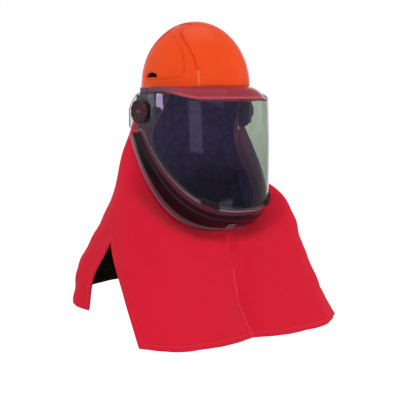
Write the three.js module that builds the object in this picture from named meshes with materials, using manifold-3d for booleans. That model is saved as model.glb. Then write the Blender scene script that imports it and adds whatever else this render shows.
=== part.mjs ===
// Arc flash hood: a hard hat with a lifting curved window, its chin cup, and a cloth hood with a bib.
// Millimetres, +Z up. The wearer faces -Y and the wearer's right side is -X.
// The origin is where the hat sits on the crown of the head.
import * as THREE from 'three';
import { mergeVertices } from 'three/addons/utils/BufferGeometryUtils.js';
import Module from 'manifold-3d';

const wasm = await Module();
wasm.setup();

// Fits
const gap = 0.3;            // between pieces that touch
const slipFit = 0.4;        // round a stem that turns in a hole

// Hard hat
const hatHalfWidth = 110;
const hatHalfLength = 135;
const crownHeight = 145;    // from the rim to the top
const hatWall = 3;
const headBelowTop = 40;    // from the top of the hat down to the crown of the head
const rimFlange = 3.5;      // the rim stands out by this
const rimHeight = 9;
const rimLip = 2;           // its upper face above the foot of the crown
const bandRise = 2.4;       // raised centre band of the crown
const bandHalfWidth = 70;
const panelRise = 1.6;      // raised panel on each side
const panelFrom = 84;       // its edge, from the middle of the hat
const reliefFade = 5;       // the raised forms fade out over this
const peakReach = 17;       // the peak beyond the front of the crown
const peakDrop = 13;
const peakHalfAngle = 62;   // degrees from the front
const ventWidth = 46;
const ventHeight = 11;
const ventBack = 18;        // behind the middle of the hat
const ventAboveRim = 22;

// Pivot of the visor
const pivotDrop = 52;       // below the rim
const pivotBack = 0;        // behind the middle of the hat
const stemRadius = 6;
const knobRadius = 26.5;
const knobThickness = 10.5;
const knobGripCount = 10;
const gripRadius = 3.2;     // of a finger groove
const gripDepth = 1.6;
const screwRadius = 5;
const screwHeight = 2;
const screwSlotWidth = 1.4;
const screwSlotLength = 12; // right across the head
const screwSlotDepth = 1;
const stemReach = 14;       // of the stem, inward of the knob
const lensWashGap = 0.2;    // more room between the knob and the window
const cutReach = 60;        // of what cuts a hole, through the wall and beyond

// Window
const lensHalfWidth = 150;  // outer face at its top edge
const lensReach = 182;      // forward of the pivot
const lensWall = 2;
const lensBulge = 0.036;    // share by which the middle stands out
const lensTopDrop = 26;     // top edge below the rim, in front
const lensBottomDrop = 263; // lower edge below the rim, in front
const lensEarDrop = 91;     // lower edge below the rim, at the pivot
const earBack = 45;         // the ears reach this far behind the pivot
const earFall = 7;          // of its lower edge behind the pivot
const earCornerRise = 14;   // where the lower edge turns up at the ear's back corner
const earTopDrop = 11;      // top of the ears below the rim

// Brow guard
const browWall = 2.2;
const browInset = 7;        // its sides inside the window
const browFrontInset = 1.2; // its front inside the window
const browFit = 1.6;        // between its inner edge and the rim
const browCrown = 4;        // its middle above a straight line from edge to edge
const browLip = 7;
const browHalfAngle = 88;  // degrees from the front

// Chin cup
const cupWall = 2.4;
const cupFit = 0.7;         // between the cup and the inner face of the window
const cupTuck = 9;          // its upper edge behind the lower edge of the window
const cupFlare = 1;         // the cup's outer edge outside the window, on each side
const cupReach = 153.5;
const cupCentreBack = 31;
const cupBottomDrop = 312;  // below the rim, in front
const cupRimRise = 182;     // the outer edge climbs this much by the pivot
const cupRimPower = 1.68;
const cupRibRise = 2.2;
const cupRibShare = 0.36;   // the rib's place between the window and the outer edge
const cupBelly = 7;
const rimBandHeight = 8;
const rimBandWall = 3.2;
const padSide = 20;
const padThickness = 3;
const padTurn = -8;         // degrees from the front
const clipLength = 46;
const clipWidth = 15;
const clipThickness = 5;
const clipOverhang = 3;     // below the lower edge of the window
const clipRibs = 5;
const clipTurn = 33;        // degrees from the front

// Brackets
const bracketWall = 3;
const bracketFromLens = 10; // between the plate and the inner face of the window
const bracketLength = 66;
const bracketHeight = 72;
const bracketForward = 34;  // of the pivot
const bracketTopDrop = 16;   // below the rim
const bossFit = 0.8;        // between the boss and the curved window
const bossWall = 6;
const bracketCorner = 18;
const bracketSeat = 12;     // its flange reaches in past the crown's side by this before it is cut to fit
const postWidth = 8;
const postThickness = 4;
const postShorter = 12;     // than the bracket's plate
const postRaise = 2;        // its middle above the middle of the plate
const seatWeld = 1;         // pieces of the bracket run into each other by this
const stripLength = 26;
const stripThickness = 2.5;
const stripBelowPivot = 12;
const tabLength = 24;
const tabTopDrop = 1;       // below the rim
const tabInset = 3;         // in past the crown's side before it is cut to fit
const tabThickness = 22;

// Hood
const clothWall = 2;
const liningWall = 1;
const liningGap = 0.7;
const hemDrop = 535;        // front hem below the rim, in the middle
const bibHalfWidth = 283;
const bibReach = 215;       // forward of the middle of the hat
const backHalfWidth = 205;
const backReach = 250;
const shoulderDrop = 335;   // level of the tops of the side slits below the rim
const shoulderHalfWidth = 240;
const neckDrop = 215;
const collarLastTurn = 86;  // degrees from the front, where the nape takes over from the cup's edge
const collarFit = 8;        // between the hood and the outer edge of the chin cup
const openingFromBracket = 25; // between the edge of the face opening and the bracket's plate
const yokeBelowCup = 22;    // the front of the yoke below the chin cup
const hoodFit = 1.5;        // between the hood's top edge and the inside of the rim
const hoodTuck = 3;         // the top edge up inside the rim

// Places that follow from the sizes
const topZ = headBelowTop;
const rimZ = topZ - crownHeight;
const pivotZ = rimZ - pivotDrop;
const pivotY = pivotBack;
const lensTopZ = rimZ - lensTopDrop;
const lensBottomZ = rimZ - lensBottomDrop;
const lensMidZ = (lensTopZ + lensBottomZ) / 2;
const lensInnerX = lensHalfWidth - lensWall;
const plateX = lensInnerX - bracketFromLens;    // outer face of the bracket's plate
const openingHalfWidth = plateX - bracketWall - openingFromBracket;
const yokeDrop = cupBottomDrop + yokeBelowCup;
const cupHalfWidth = lensHalfWidth + cupFlare;

const finishes = {
  shell: { color: 0xee5127, roughness: 0.28, metalness: 0 },
  tint: { color: 0x8a3947, roughness: 0.15, metalness: 0, transparent: true, opacity: 0.75 },
  bracket: { color: 0x3a3542, roughness: 0.45, metalness: 0 },
  knob: { color: 0x553d45, roughness: 0.4, metalness: 0 },
  lens: { color: 0xa8b8a4, roughness: 0.05, metalness: 0, transparent: true, opacity: 0.35 },
  cup: { color: 0x4a1c28, roughness: 0.2, metalness: 0, transparent: true, opacity: 0.85 },
  rim: { color: 0x765a64, roughness: 0.4, metalness: 0 },
  light: { color: 0xaaa4aa, roughness: 0.4, metalness: 0 },
  red: { color: 0xd52237, roughness: 0.9, metalness: 0 },
  black: { color: 0x110e08, roughness: 0.95, metalness: 0 },
};

const radians = THREE.MathUtils.degToRad;
const mix = THREE.MathUtils.lerp;
const smooth = (x, low, high) => THREE.MathUtils.smoothstep(x, low, high);

// Solids and meshes

function toSolid(geometry) {
  const bare = geometry.index ? geometry.toNonIndexed() : geometry.clone();
  bare.deleteAttribute('normal');
  bare.deleteAttribute('uv');
  const merged = mergeVertices(bare, 1e-4);
  const index = merged.index.array;
  const kept = [];
  for (let i = 0; i < index.length; i += 3) {
    const [a, b, c] = [index[i], index[i + 1], index[i + 2]];
    if (a !== b && b !== c && c !== a) kept.push(a, b, c);
  }
  return new wasm.Manifold(new wasm.Mesh({
    numProp: 3,
    vertProperties: new Float32Array(merged.attributes.position.array),
    triVerts: new Uint32Array(kept),
  }));
}

function toGeometry(solid) {
  const mesh = solid.getMesh();
  const geometry = new THREE.BufferGeometry();
  geometry.setAttribute('position', new THREE.BufferAttribute(new Float32Array(mesh.vertProperties), 3));
  geometry.setIndex(new THREE.BufferAttribute(new Uint32Array(mesh.triVerts), 1));
  geometry.computeVertexNormals();
  return geometry;
}

function nodeMesh(name, solid, finish) {
  const mesh = new THREE.Mesh(toGeometry(solid), new THREE.MeshStandardMaterial(finishes[finish]));
  mesh.name = name;
  return mesh;
}

function placed(geometry, x, y, z, rx = 0, ry = 0, rz = 0) {
  const matrix = new THREE.Matrix4().makeRotationFromEuler(new THREE.Euler(rx, ry, rz));
  matrix.setPosition(x, y, z);
  return geometry.clone().applyMatrix4(matrix);
}

// A closed wall on a surface given as quads of points, each turned outward when seen anticlockwise.
// The wall runs from one stand-off to another along the normal averaged at each point.
function wallOnQuads(quads, outerStand, innerStand) {
  const ids = new Map();
  const points = [];
  const idOf = (p) => {
    const key = [p.x, p.y, p.z].map((value) => value.toFixed(4)).join(' ');
    if (!ids.has(key)) {
      ids.set(key, points.length);
      points.push(p);
    }
    return ids.get(key);
  };
  const faces = quads.map((quad) => quad.map(idOf));
  const normals = points.map(() => new THREE.Vector3());
  const edges = new Set();
  for (const face of faces) {
    const [a, b, c, d] = face.map((id) => points[id]);
    const across = new THREE.Vector3().subVectors(c, a).cross(new THREE.Vector3().subVectors(d, b));
    for (const id of face) normals[id].add(across);
    face.forEach((id, i) => edges.add(id + ' ' + face[(i + 1) % 4]));
  }
  normals.forEach((normal) => normal.normalize());
  const outer = points.map((p, i) => p.clone().addScaledVector(normals[i], outerStand));
  const inner = points.map((p, i) => p.clone().addScaledVector(normals[i], innerStand));
  const corners = [];
  const quad = (a, b, c, d) => corners.push(a, b, c, a, c, d);
  for (const [a, b, c, d] of faces) {
    quad(outer[a], outer[b], outer[c], outer[d]);
    quad(inner[a], inner[d], inner[c], inner[b]);
  }
  for (const edge of edges) {
    const [a, b] = edge.split(' ').map(Number);
    if (a !== b && !edges.has(b + ' ' + a)) quad(outer[b], outer[a], inner[a], inner[b]);
  }
  return toSolid(new THREE.BufferGeometry().setFromPoints(corners));
}

// Quads between rows of points that run down, with columns that run anticlockwise seen from above.
function quadsOf(rows) {
  const quads = [];
  for (let r = 0; r + 1 < rows.length; r++) {
    for (let c = 0; c + 1 < rows[r].length; c++) {
      quads.push([rows[r][c], rows[r + 1][c], rows[r + 1][c + 1], rows[r][c + 1]]);
    }
  }
  return quads;
}

// A smooth path through rows of a table, at a share between their own shares.
function alongRows(rows, share, columns) {
  const count = rows.length;
  let k = 0;
  while (k < count - 2 && share > rows[k + 1][0]) k++;
  const before = rows[Math.max(0, k - 1)];
  const after = rows[Math.min(count - 1, k + 2)];
  const [here, next] = [rows[k], rows[k + 1]];
  const span = next[0] - here[0];
  const t = (share - here[0]) / span;
  return columns.map((column) => {
    const slopeHere = k === 0 ? (next[column] - here[column]) / span
      : (next[column] - before[column]) / (next[0] - before[0]);
    const slopeNext = k === count - 2 ? (next[column] - here[column]) / span
      : (after[column] - here[column]) / (after[0] - here[0]);
    const a = slopeHere * span;
    const b = slopeNext * span;
    const rise = next[column] - here[column];
    return here[column] + a * t + (3 * rise - 2 * a - b) * t * t + (a + b - 2 * rise) * t * t * t;
  });
}

const steps = (from, to, count) => Array.from({ length: count + 1 }, (_, i) => mix(from, to, i / count));

// Hat

// The crown: an upright half ellipsoid with a raised centre band and raised side panels.
// turn is measured from the front towards +X, climb from the rim to the top, both in radians.
function crownPoint(turn, climb, stand = 0) {
  const x = Math.sin(turn) * Math.cos(climb);
  const y = -Math.cos(turn) * Math.cos(climb);
  const z = Math.sin(climb);
  const side = Math.abs(x) * hatHalfWidth;
  const beyondBand = smooth(side, bandHalfWidth - reliefFade, bandHalfWidth + reliefFade);
  const band = bandRise * (1 - beyondBand) * smooth(z, 0.06, 0.2);
  const panelHeight = smooth(z, 0.17, 0.22) * (1 - smooth(z, 0.62, 0.68));
  const inPanel = smooth(side, panelFrom, panelFrom + reliefFade) * panelHeight;
  const out = stand + band + panelRise * inPanel;
  return new THREE.Vector3(
    x * (hatHalfWidth + out),
    y * (hatHalfLength + out),
    rimZ + z * (crownHeight + out),
  );
}

const crownSides = 40;
const crownTurns = Array.from({ length: crownSides }, (_, i) => (i / crownSides) * 2 * Math.PI);
const crownClimbs = [90, 74, 60, 47, 35, 25, 16, 8, 0].map(radians);

const crownRings = (stand) => crownClimbs.map(
  (climb) => crownTurns.map((turn) => crownPoint(turn, climb, stand)));

// The crown's wall: down the outside from the top, then up the inside to the axis.
function crownWall() {
  return ringSolid([...crownRings(0), ...crownRings(-hatWall).reverse()]);
}

// A line round the rim, at an outward and an upward distance from it.
const rimLine = (out, up) => crownTurns.map((turn) => new THREE.Vector3(
  Math.sin(turn) * (hatHalfWidth + out), -Math.cos(turn) * (hatHalfLength + out), rimZ + up));

// A solid from rings of points, from the top down, closed on itself or on the axis.
function ringSolid(rows) {
  const points = [];
  for (let r = 0; r + 1 < rows.length; r++) {
    for (let c = 0; c < crownTurns.length; c++) {
      const n = (c + 1) % crownTurns.length;
      points.push(rows[r][c], rows[r + 1][c], rows[r + 1][n], rows[r][c], rows[r + 1][n], rows[r][n]);
    }
  }
  return toSolid(new THREE.BufferGeometry().setFromPoints(points));
}

// The crown and rim filled up to a stand-off, which cuts what seats on them.
function crownBlock(stand) {
  const ring = crownRings(stand).slice(0, -1);
  const shelf = rimLine(rimFlange + stand, rimLip + stand);
  const below = rimLine(rimFlange + stand, -rimHeight - cutReach);
  const axis = crownTurns.map(() => new THREE.Vector3(0, 0, below[0].z));
  return ringSolid([...ring, rimLine(stand, rimLip + stand), shelf, below, axis]);
}

// The rim: a band below the crown that stands out a little.
function rimRing() {
  const profile = [
    [rimFlange, rimLip], [rimFlange, -rimHeight], [-hatWall, -rimHeight], [-hatWall, rimLip],
  ];
  const rows = profile.map(([out, up]) => rimLine(out, up));
  return ringSolid([...rows, rows[0]]);
}

// The peak: a sheet that leaves the rim in front and fades out towards the sides.
function peak() {
  const turns = steps(-radians(peakHalfAngle), radians(peakHalfAngle), 14);
  const reachAt = (turn) => peakReach * Math.cos((turn / radians(peakHalfAngle)) * (Math.PI / 2)) ** 0.8 + 1;
  const row = (share) => turns.map((turn) => {
    const out = mix(-1, reachAt(turn), share);
    return new THREE.Vector3(
      Math.sin(turn) * (hatHalfWidth + out),
      -Math.cos(turn) * (hatHalfLength + out),
      rimZ - 1 - peakDrop * share ** 1.4);
  });
  return wallOnQuads(quadsOf([0, 0.35, 0.7, 1].map(row)), 0, -hatWall);
}

function ventCutter(side) {
  const half = ventWidth / 2;
  const shape = new THREE.Shape();
  shape.moveTo(-half, 0);
  shape.lineTo(half, 0);
  shape.absellipse(0, 0, half, ventHeight, 0, Math.PI, false, 0);
  const block = new THREE.ExtrudeGeometry(shape, { depth: cutReach, bevelEnabled: false, curveSegments: 6 });
  const turn = new THREE.Matrix4().makeBasis(
    new THREE.Vector3(0, side, 0), new THREE.Vector3(0, 0, 1), new THREE.Vector3(side, 0, 0));
  turn.setPosition(side * (hatHalfWidth - cutReach * 2 / 3), ventBack, rimZ + ventAboveRim);
  return toSolid(block.applyMatrix4(turn));
}

function hatShell() {
  const shell = crownWall().add(rimRing()).add(peak());
  return shell.subtract(ventCutter(1)).subtract(ventCutter(-1));
}

// Window

// The plan of the window: half an ellipse in front of the pivot, then straight back along the ears.
// turn runs from the front (0) past the pivot (90 degrees) into the ears.
const earTurn = Math.PI / 2 + earBack / lensHalfWidth;

function visorPlan(turn, halfWidth, reach, out = 0) {
  const side = Math.sign(turn) || 1;
  const past = Math.abs(turn) - Math.PI / 2;
  if (past > 0) {
    return new THREE.Vector2(side * (halfWidth + out), pivotY + past * lensHalfWidth);
  }
  const normal = new THREE.Vector2(Math.sin(turn) / halfWidth, -Math.cos(turn) / reach).normalize();
  return new THREE.Vector2(
    Math.sin(turn) * halfWidth + normal.x * out,
    pivotY - Math.cos(turn) * reach + normal.y * out);
}

// Edge that climbs from the front to the sides as a power of one minus the cosine.
const climbing = (turn, power) => (1 - Math.cos(Math.min(Math.abs(turn), Math.PI / 2))) ** power;
const pastPivot = (turn) => Math.max(0, Math.abs(turn) - Math.PI / 2) * lensHalfWidth / earBack;

function lensLowerZ(turn) {
  const ear = earCornerRise * pastPivot(turn) ** 4 - earFall * pastPivot(turn);
  return lensBottomZ + (lensBottomDrop - lensEarDrop) * climbing(turn, 1.5) + ear;
}

function lensUpperZ(turn) {
  const ear = earTopDrop - lensTopDrop;
  return lensTopZ - ear * smooth(Math.abs(turn), 0.7, 1.25) - 36 * pastPivot(turn) ** 2.2;
}

function lensPoint(turn, z, out = 0) {
  const high = (z - lensMidZ) / (lensTopZ - lensMidZ);
  const ahead = Math.cos(Math.min(Math.abs(turn), Math.PI / 2)) ** 0.25;
  const bulge = 1 + lensBulge * Math.max(0, 1 - high * high) * ahead;
  const plan = visorPlan(turn, lensHalfWidth, lensReach * bulge, out);
  return new THREE.Vector3(plan.x, plan.y, z);
}

const lensTurns = [
  ...steps(-earTurn, -Math.PI / 2, 2), ...steps(-Math.PI / 2, Math.PI / 2, 26).slice(1),
  ...steps(Math.PI / 2, earTurn, 2).slice(1),
];

function stemHole(side, radius) {
  const bore = new THREE.CylinderGeometry(radius, radius, cutReach, 18);
  return toSolid(placed(bore, side * lensHalfWidth, pivotY, pivotZ, 0, 0, Math.PI / 2));
}

function lens() {
  const rows = steps(0, 1, 5).map((share) => lensTurns.map((turn) => lensPoint(
    turn, mix(lensUpperZ(turn), lensLowerZ(turn), share))));
  const wall = wallOnQuads(quadsOf(rows), 0, -lensWall);
  return wall.subtract(stemHole(1, stemRadius + slipFit)).subtract(stemHole(-1, stemRadius + slipFit));
}

// Brow guard

function browInnerPoint(turn) {
  const out = rimFlange + browFit;
  return new THREE.Vector3(
    Math.sin(turn) * (hatHalfWidth + out), -Math.cos(turn) * (hatHalfLength + out), rimZ + rimLip);
}

function browOuterPoint(turn, out = 0) {
  const plan = visorPlan(turn, lensHalfWidth - lensWall - browInset, lensReach - lensWall - browFrontInset, out);
  return new THREE.Vector3(plan.x, plan.y, lensUpperZ(turn) + 3);
}

function browGuard() {
  const turns = steps(-radians(browHalfAngle), radians(browHalfAngle), 20);
  const shares = [0, 0.33, 0.67, 1];
  const top = shares.map((share) => turns.map((turn) => {
    const inner = browInnerPoint(turn);
    const outer = browOuterPoint(turn);
    const crown = browCrown * Math.sin(Math.PI * share);
    return inner.lerp(outer, share).add(new THREE.Vector3(0, 0, crown));
  }));
  top.push(turns.map((turn) => browOuterPoint(turn).add(new THREE.Vector3(0, 0, -browLip))));
  return wallOnQuads(quadsOf(top), 0, -browWall);
}

// Chin cup

// A line of the cup at a turn: it starts behind the lower edge of the window, comes out below it,
// and runs down and back to its outer edge. share 0 is where it comes out, 1 the outer edge.
const cupLastTurn = radians(95);

function cupEdge(turn) {
  return new THREE.Vector3(
    Math.sin(turn) * cupHalfWidth,
    pivotY + cupCentreBack - Math.cos(turn) * cupReach,
    rimZ - cupBottomDrop + cupRimRise * (1 - Math.cos(turn)) ** cupRimPower);
}

const cupTop = (turn, up) => lensPoint(turn, lensLowerZ(turn) + up, -lensWall - cupFit);
const cupStart = (turn) => cupTop(turn, -2);

function cupPoint(turn, share, stand = 0) {
  const start = cupStart(turn);
  const edge = cupEdge(turn);
  const down = new THREE.Vector3().subVectors(edge, start);
  const sideways = new THREE.Vector3(Math.cos(turn), Math.sin(turn), 0);
  const normal = new THREE.Vector3().crossVectors(sideways, down).normalize().negate();
  const belly = cupBelly * Math.sin(Math.PI * share) * climbDown(turn);
  const rib = cupRibRise * (1 - smooth(Math.abs(share / shellShare(turn) - cupRibShare), 0.02, 0.06));
  return start.addScaledVector(down, share).addScaledVector(normal, belly + rib + stand);
}

const climbDown = (turn) => Math.cos(Math.min(Math.abs(turn), Math.PI / 2)) ** 0.5;
const cupSpan = (turn) => cupStart(turn).distanceTo(cupEdge(turn));
const bandStart = (turn) => 1 - rimBandHeight / cupSpan(turn);
const shellShare = (turn) => bandStart(turn) - 2 * gap / cupSpan(turn);
const cupTurns = steps(-cupLastTurn, cupLastTurn, 24);

function chinCup() {
  const shares = [0, 0.16, cupRibShare - 0.06, cupRibShare, cupRibShare + 0.06, 0.68, 1];
  const rows = [
    cupTurns.map((turn) => cupTop(turn, cupTuck)),
    ...shares.map((share) => cupTurns.map((turn) => cupPoint(turn, share * shellShare(turn)))),
  ];
  return wallOnQuads(quadsOf(rows), 0, -cupWall);
}

function chinRim() {
  const rows = [0, 0.5, 1].map(
    (share) => cupTurns.map((turn) => cupPoint(turn, mix(bandStart(turn), 1, share))));
  return wallOnQuads(quadsOf(rows), (rimBandWall - cupWall) / 2, -(rimBandWall + cupWall) / 2);
}

// A small block seated on a surface: its base lies a gap off the surface and follows it.
function seatedBlock(pointAt, us, vs, thickness) {
  return wallOnQuads(quadsOf(vs.map((v) => us.map((u) => pointAt(u, v)))), gap + thickness, gap);
}

function chinPad() {
  const halfTurn = padSide / 2 / cupHalfWidth;
  const turns = steps(radians(padTurn) - halfTurn, radians(padTurn) + halfTurn, 2);
  return seatedBlock((turn, share) => cupPoint(turn, share), turns, steps(0.48, 0.7, 6), padThickness);
}

// The clip: a bar on the window just above its lower edge, with ribs across it.
function clip(side) {
  const middle = side * radians(clipTurn);
  const halfTurn = clipLength / 2 / lensReach;
  const turns = steps(middle - halfTurn, middle + halfTurn, clipRibs * 2 + 1);
  const level = (turn, share) => lensPoint(turn, lensLowerZ(turn) + mix(clipWidth - clipOverhang, -clipOverhang, share));
  const bar = seatedBlock(level, turns, [0, 1], clipThickness * 0.6);
  const ribs = Array.from({ length: clipRibs }, (_, i) => {
    const pair = [turns[2 * i + 1], turns[2 * i + 2]];
    return seatedBlock(level, pair, [0.15, 0.85], clipThickness);
  });
  return ribs.reduce((whole, rib) => whole.add(rib), bar);
}

// Brackets and knobs; each is made for +X and the other side is its mirror image

function mirrored(geometry) {
  const flipped = geometry.index ? geometry.toNonIndexed() : geometry.clone();
  flipped.scale(-1, 1, 1);
  const position = flipped.attributes.position;
  const swap = new THREE.Vector3();
  const other = new THREE.Vector3();
  for (let i = 0; i < position.count; i += 3) {
    swap.fromBufferAttribute(position, i);
    other.fromBufferAttribute(position, i + 1);
    position.setXYZ(i, other.x, other.y, other.z);
    position.setXYZ(i + 1, swap.x, swap.y, swap.z);
  }
  return flipped;
}

const sided = (geometry, side) => toSolid(side > 0 ? geometry : mirrored(geometry));

// A flat plate in the Y-Z plane, from x0 out to x1, with an outline in Y and Z.
function plateOf(shape, x0, x1, curveSegments = 5) {
  const block = new THREE.ExtrudeGeometry(shape, { depth: x1 - x0, bevelEnabled: false, curveSegments });
  const turn = new THREE.Matrix4().makeBasis(
    new THREE.Vector3(0, 1, 0), new THREE.Vector3(0, 0, 1), new THREE.Vector3(1, 0, 0));
  turn.setPosition(x0, 0, 0);
  return block.applyMatrix4(turn);
}

function roundedPlate(y0, z0, y1, z1, radius) {
  const shape = new THREE.Shape();
  shape.moveTo(y0 + radius, z0);
  shape.lineTo(y1 - radius, z0);
  shape.absarc(y1 - radius, z0 + radius, radius, -Math.PI / 2, 0);
  shape.lineTo(y1, z1);
  shape.lineTo(y0, z1);
  shape.lineTo(y0, z0 + radius);
  shape.absarc(y0 + radius, z0 + radius, radius, Math.PI, 1.5 * Math.PI);
  return shape;
}

const bracketTopZ = rimZ - bracketTopDrop;
const bracketFrontY = pivotY - bracketForward;
const bracketBackY = bracketFrontY + bracketLength;
const tabHeight = bracketTopDrop - tabTopDrop + bracketWall;

function bracket(side) {
  const outline = roundedPlate(
    bracketFrontY, bracketTopZ - bracketHeight, bracketBackY, bracketTopZ, bracketCorner);
  const plate = plateOf(outline, plateX - bracketWall, plateX);
  const flange = placed(
    new THREE.BoxGeometry(plateX - hatHalfWidth + bracketSeat, bracketLength - 10, bracketWall),
    (plateX + hatHalfWidth - bracketSeat) / 2, (bracketFrontY + bracketBackY) / 2, bracketTopZ - bracketWall / 2);
  const boss = placed(
    new THREE.CylinderGeometry(
      stemRadius + bossWall, stemRadius + bossWall, lensInnerX - bossFit - plateX + seatWeld, 20),
    (lensInnerX - bossFit + plateX - seatWeld) / 2, pivotY, pivotZ, 0, 0, Math.PI / 2);
  const post = placed(
    new THREE.BoxGeometry(postThickness + seatWeld, postWidth, bracketHeight - postShorter),
    plateX + (postThickness - seatWeld) / 2, bracketFrontY + postWidth / 2,
    bracketTopZ - bracketHeight / 2 + postRaise);
  const tab = placed(
    new THREE.BoxGeometry(tabThickness, tabLength, tabHeight),
    hatHalfWidth - tabInset + tabThickness / 2, bracketBackY - tabLength / 2, rimZ - tabTopDrop - tabHeight / 2);
  return [plate, flange, boss, post, tab]
    .map((geometry) => sided(geometry, side))
    .reduce((whole, piece) => whole.add(piece))
    .subtract(crownBlock(gap))
    .subtract(stemHole(side, stemRadius + slipFit));
}

function strip(side) {
  const x = plateX + postThickness + gap + stripThickness / 2;
  return sided(placed(
    new THREE.BoxGeometry(stripThickness, postWidth * 0.5, stripLength),
    x, bracketFrontY + postWidth / 2, pivotZ + stripLength / 2 - stripBelowPivot), side);
}

// The knob: a disc with finger grooves, a pit for its screw and a stem that turns in the bracket.
function knob(side) {
  const profile = [
    [0, -stemReach], [stemRadius, -stemReach], [stemRadius, 0], [knobRadius - 2, 0], [knobRadius, 2],
    [knobRadius, knobThickness * 0.55], [knobRadius - 3, knobThickness], [knobRadius - 8, knobThickness],
    [knobRadius - 10, knobThickness - 2], [screwRadius + gap, knobThickness - 2],
    [screwRadius + gap, knobThickness - 2 - screwHeight], [0, knobThickness - 2 - screwHeight],
  ].map(([r, h]) => new THREE.Vector2(r, h));
  const body = toSolid(placed(
    new THREE.LatheGeometry(profile, 20), side * (lensHalfWidth + gap + lensWashGap), pivotY, pivotZ,
    0, 0, -side * Math.PI / 2));
  const grooves = Array.from({ length: knobGripCount }, (_, i) => {
    const turn = (i / knobGripCount) * 2 * Math.PI;
    return toSolid(placed(
      new THREE.CylinderGeometry(gripRadius, gripRadius, cutReach, 6), side * (lensHalfWidth + cutReach / 2),
      pivotY + Math.cos(turn) * (knobRadius + gripRadius - gripDepth),
      pivotZ + Math.sin(turn) * (knobRadius + gripRadius - gripDepth), 0, 0, Math.PI / 2));
  });
  return grooves.reduce((whole, groove) => whole.subtract(groove), body);
}

function knobScrew(side) {
  const x = lensHalfWidth + gap + lensWashGap + knobThickness - 2 - screwHeight + gap;
  const head = sided(placed(
    new THREE.CylinderGeometry(screwRadius, screwRadius, screwHeight, 16), x + screwHeight / 2, pivotY, pivotZ,
    0, 0, Math.PI / 2), side);
  const slot = sided(placed(
    new THREE.BoxGeometry(screwSlotDepth * 2, screwSlotWidth, screwSlotLength), x + screwHeight, pivotY, pivotZ),
  side);
  return head.subtract(slot);
}

// Hood

// Each ring is a table for one half of the hood, from the middle of the back to the middle of the front.
// Columns: share of the way round, then x, y and drop as shares of the named sizes in ringSize.
const slitShare = 0.5;
const ringOrder = ['top', 'collar', 'yoke', 'shoulder', 'middle', 'hem'];
const slitRow = ringOrder.indexOf('shoulder');
const templeShare = 0.44;
const templeTurn = radians(70);

const openingEdge = [
  // share, half width, forward, drop
  [0.44, 0.905, 0.335, 0.01], [0.5, 0.99, 0.19, 0.233], [0.56, 1.06, 0, 0.433], [0.62, 1.08, 0.06, 0.628],
  [0.7, 1.009, 0.44, 0.916], [0.78, 0.84, 0.745, 1.14], [0.88, 0.51, 0.807, 1.279], [1, 0, 0.815, 1.344],
];

const napeLine = [
  [0, 0, -1.037, 0.605], [0.15, 0.773, -0.926, 0.605], [0.3, 1.227, -0.615, 0.605], [0.42, 1.31, -0.43, 0.61],
];

const yokeLine = [
  [0, 0, -0.632, 0.672], [0.15, 0.37, -0.56, 0.678], [0.3, 0.66, -0.352, 0.695], [0.42, 0.822, -0.16, 0.702],
  [0.5, 0.9, 0.05, 0.702], [0.6, 0.87, 0.293, 0.731], [0.7, 0.765, 0.521, 0.857], [0.8, 0.508, 0.581, 0.946],
  [0.9, 0.254, 0.62, 0.997], [1, 0, 0.618, 1.009],
];

const shoulderLine = [
  [0, 0, -0.76, 0.93], [0.15, 0.42, -0.71, 0.945], [0.3, 0.783, -0.516, 0.97], [0.42, 0.958, -0.252, 0.976],
  [0.5, 1, 0.047, 0.976], [0.6, 1.015, 0.363, 1.015], [0.7, 0.86, 0.6, 1.05], [0.8, 0.558, 0.65, 1.09],
  [0.9, 0.275, 0.645, 1.113], [1, 0, 0.632, 1.125],
];

const middleBack = [[0, 0, -0.93, 0.715], [0.15, 0.522, -0.878, 0.721], [0.3, 0.956, -0.742, 0.75],
  [0.42, 1.098, -0.54, 0.77], [0.5, 1.085, -0.335, 0.785]];
const middleFront = [[0.5, 0.955, 0.465, 0.806], [0.6, 0.885, 0.65, 0.822], [0.7, 0.676, 0.775, 0.837],
  [0.8, 0.438, 0.81, 0.85], [0.9, 0.212, 0.77, 0.856], [1, 0, 0.725, 0.86]];
const hemBack = [[0, 0, -1, 0.862], [0.15, 0.537, -0.97, 0.872], [0.3, 0.927, -0.83, 0.905],
  [0.42, 1.034, -0.712, 0.93], [0.5, 0.976, -0.552, 0.945]];
const hemFront = [[0.5, 1, 0.8, 0.981], [0.6, 0.866, 0.907, 0.993], [0.7, 0.671, 0.991, 1.004],
  [0.8, 0.442, 1.009, 1.009], [0.9, 0.212, 0.98, 1.007], [1, 0, 0.935, 1.003]];

// Soft folds. Columns: share round, half width in shares, depth outward, first and last row of the rings.
const folds = [
  { at: 1, wide: 0.03, out: -5, from: 2.2, to: 4.4 },
  { at: 0.91, wide: 0.05, out: 4, from: 2.6, to: 5 },
  { at: 0.76, wide: 0.05, out: -4, from: 2.8, to: 5 },
  { at: 0.64, wide: 0.05, out: 4, from: 2.8, to: 5 },
  { at: 0.32, wide: 0.05, out: -5, from: 2, to: 5 },
  { at: 0.2, wide: 0.06, out: 5, from: 2, to: 5 },
  { at: 0, wide: 0.06, out: -5, from: 1.6, to: 5 },
  { at: 0.54, wide: 0.06, out: 24, from: 0, to: 0.2 },
];

function ringPoint(rows, share, halfWidth, forward, drop) {
  const [x, y, z] = alongRows(rows, share, [1, 2, 3]);
  return new THREE.Vector3(x * halfWidth, -y * forward, rimZ - z * drop);
}

// A point on the wearer's shoulders, where the front follows the bib's reach and the back the back's.
function wearerPoint(rows, share, drop) {
  const [x, y, z] = alongRows(rows, share, [1, 2, 3]);
  return new THREE.Vector3(
    x * shoulderHalfWidth, -mix(y * backReach, y * bibReach, smooth(y, -0.2, 0.2)), rimZ - z * drop);
}

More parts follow.
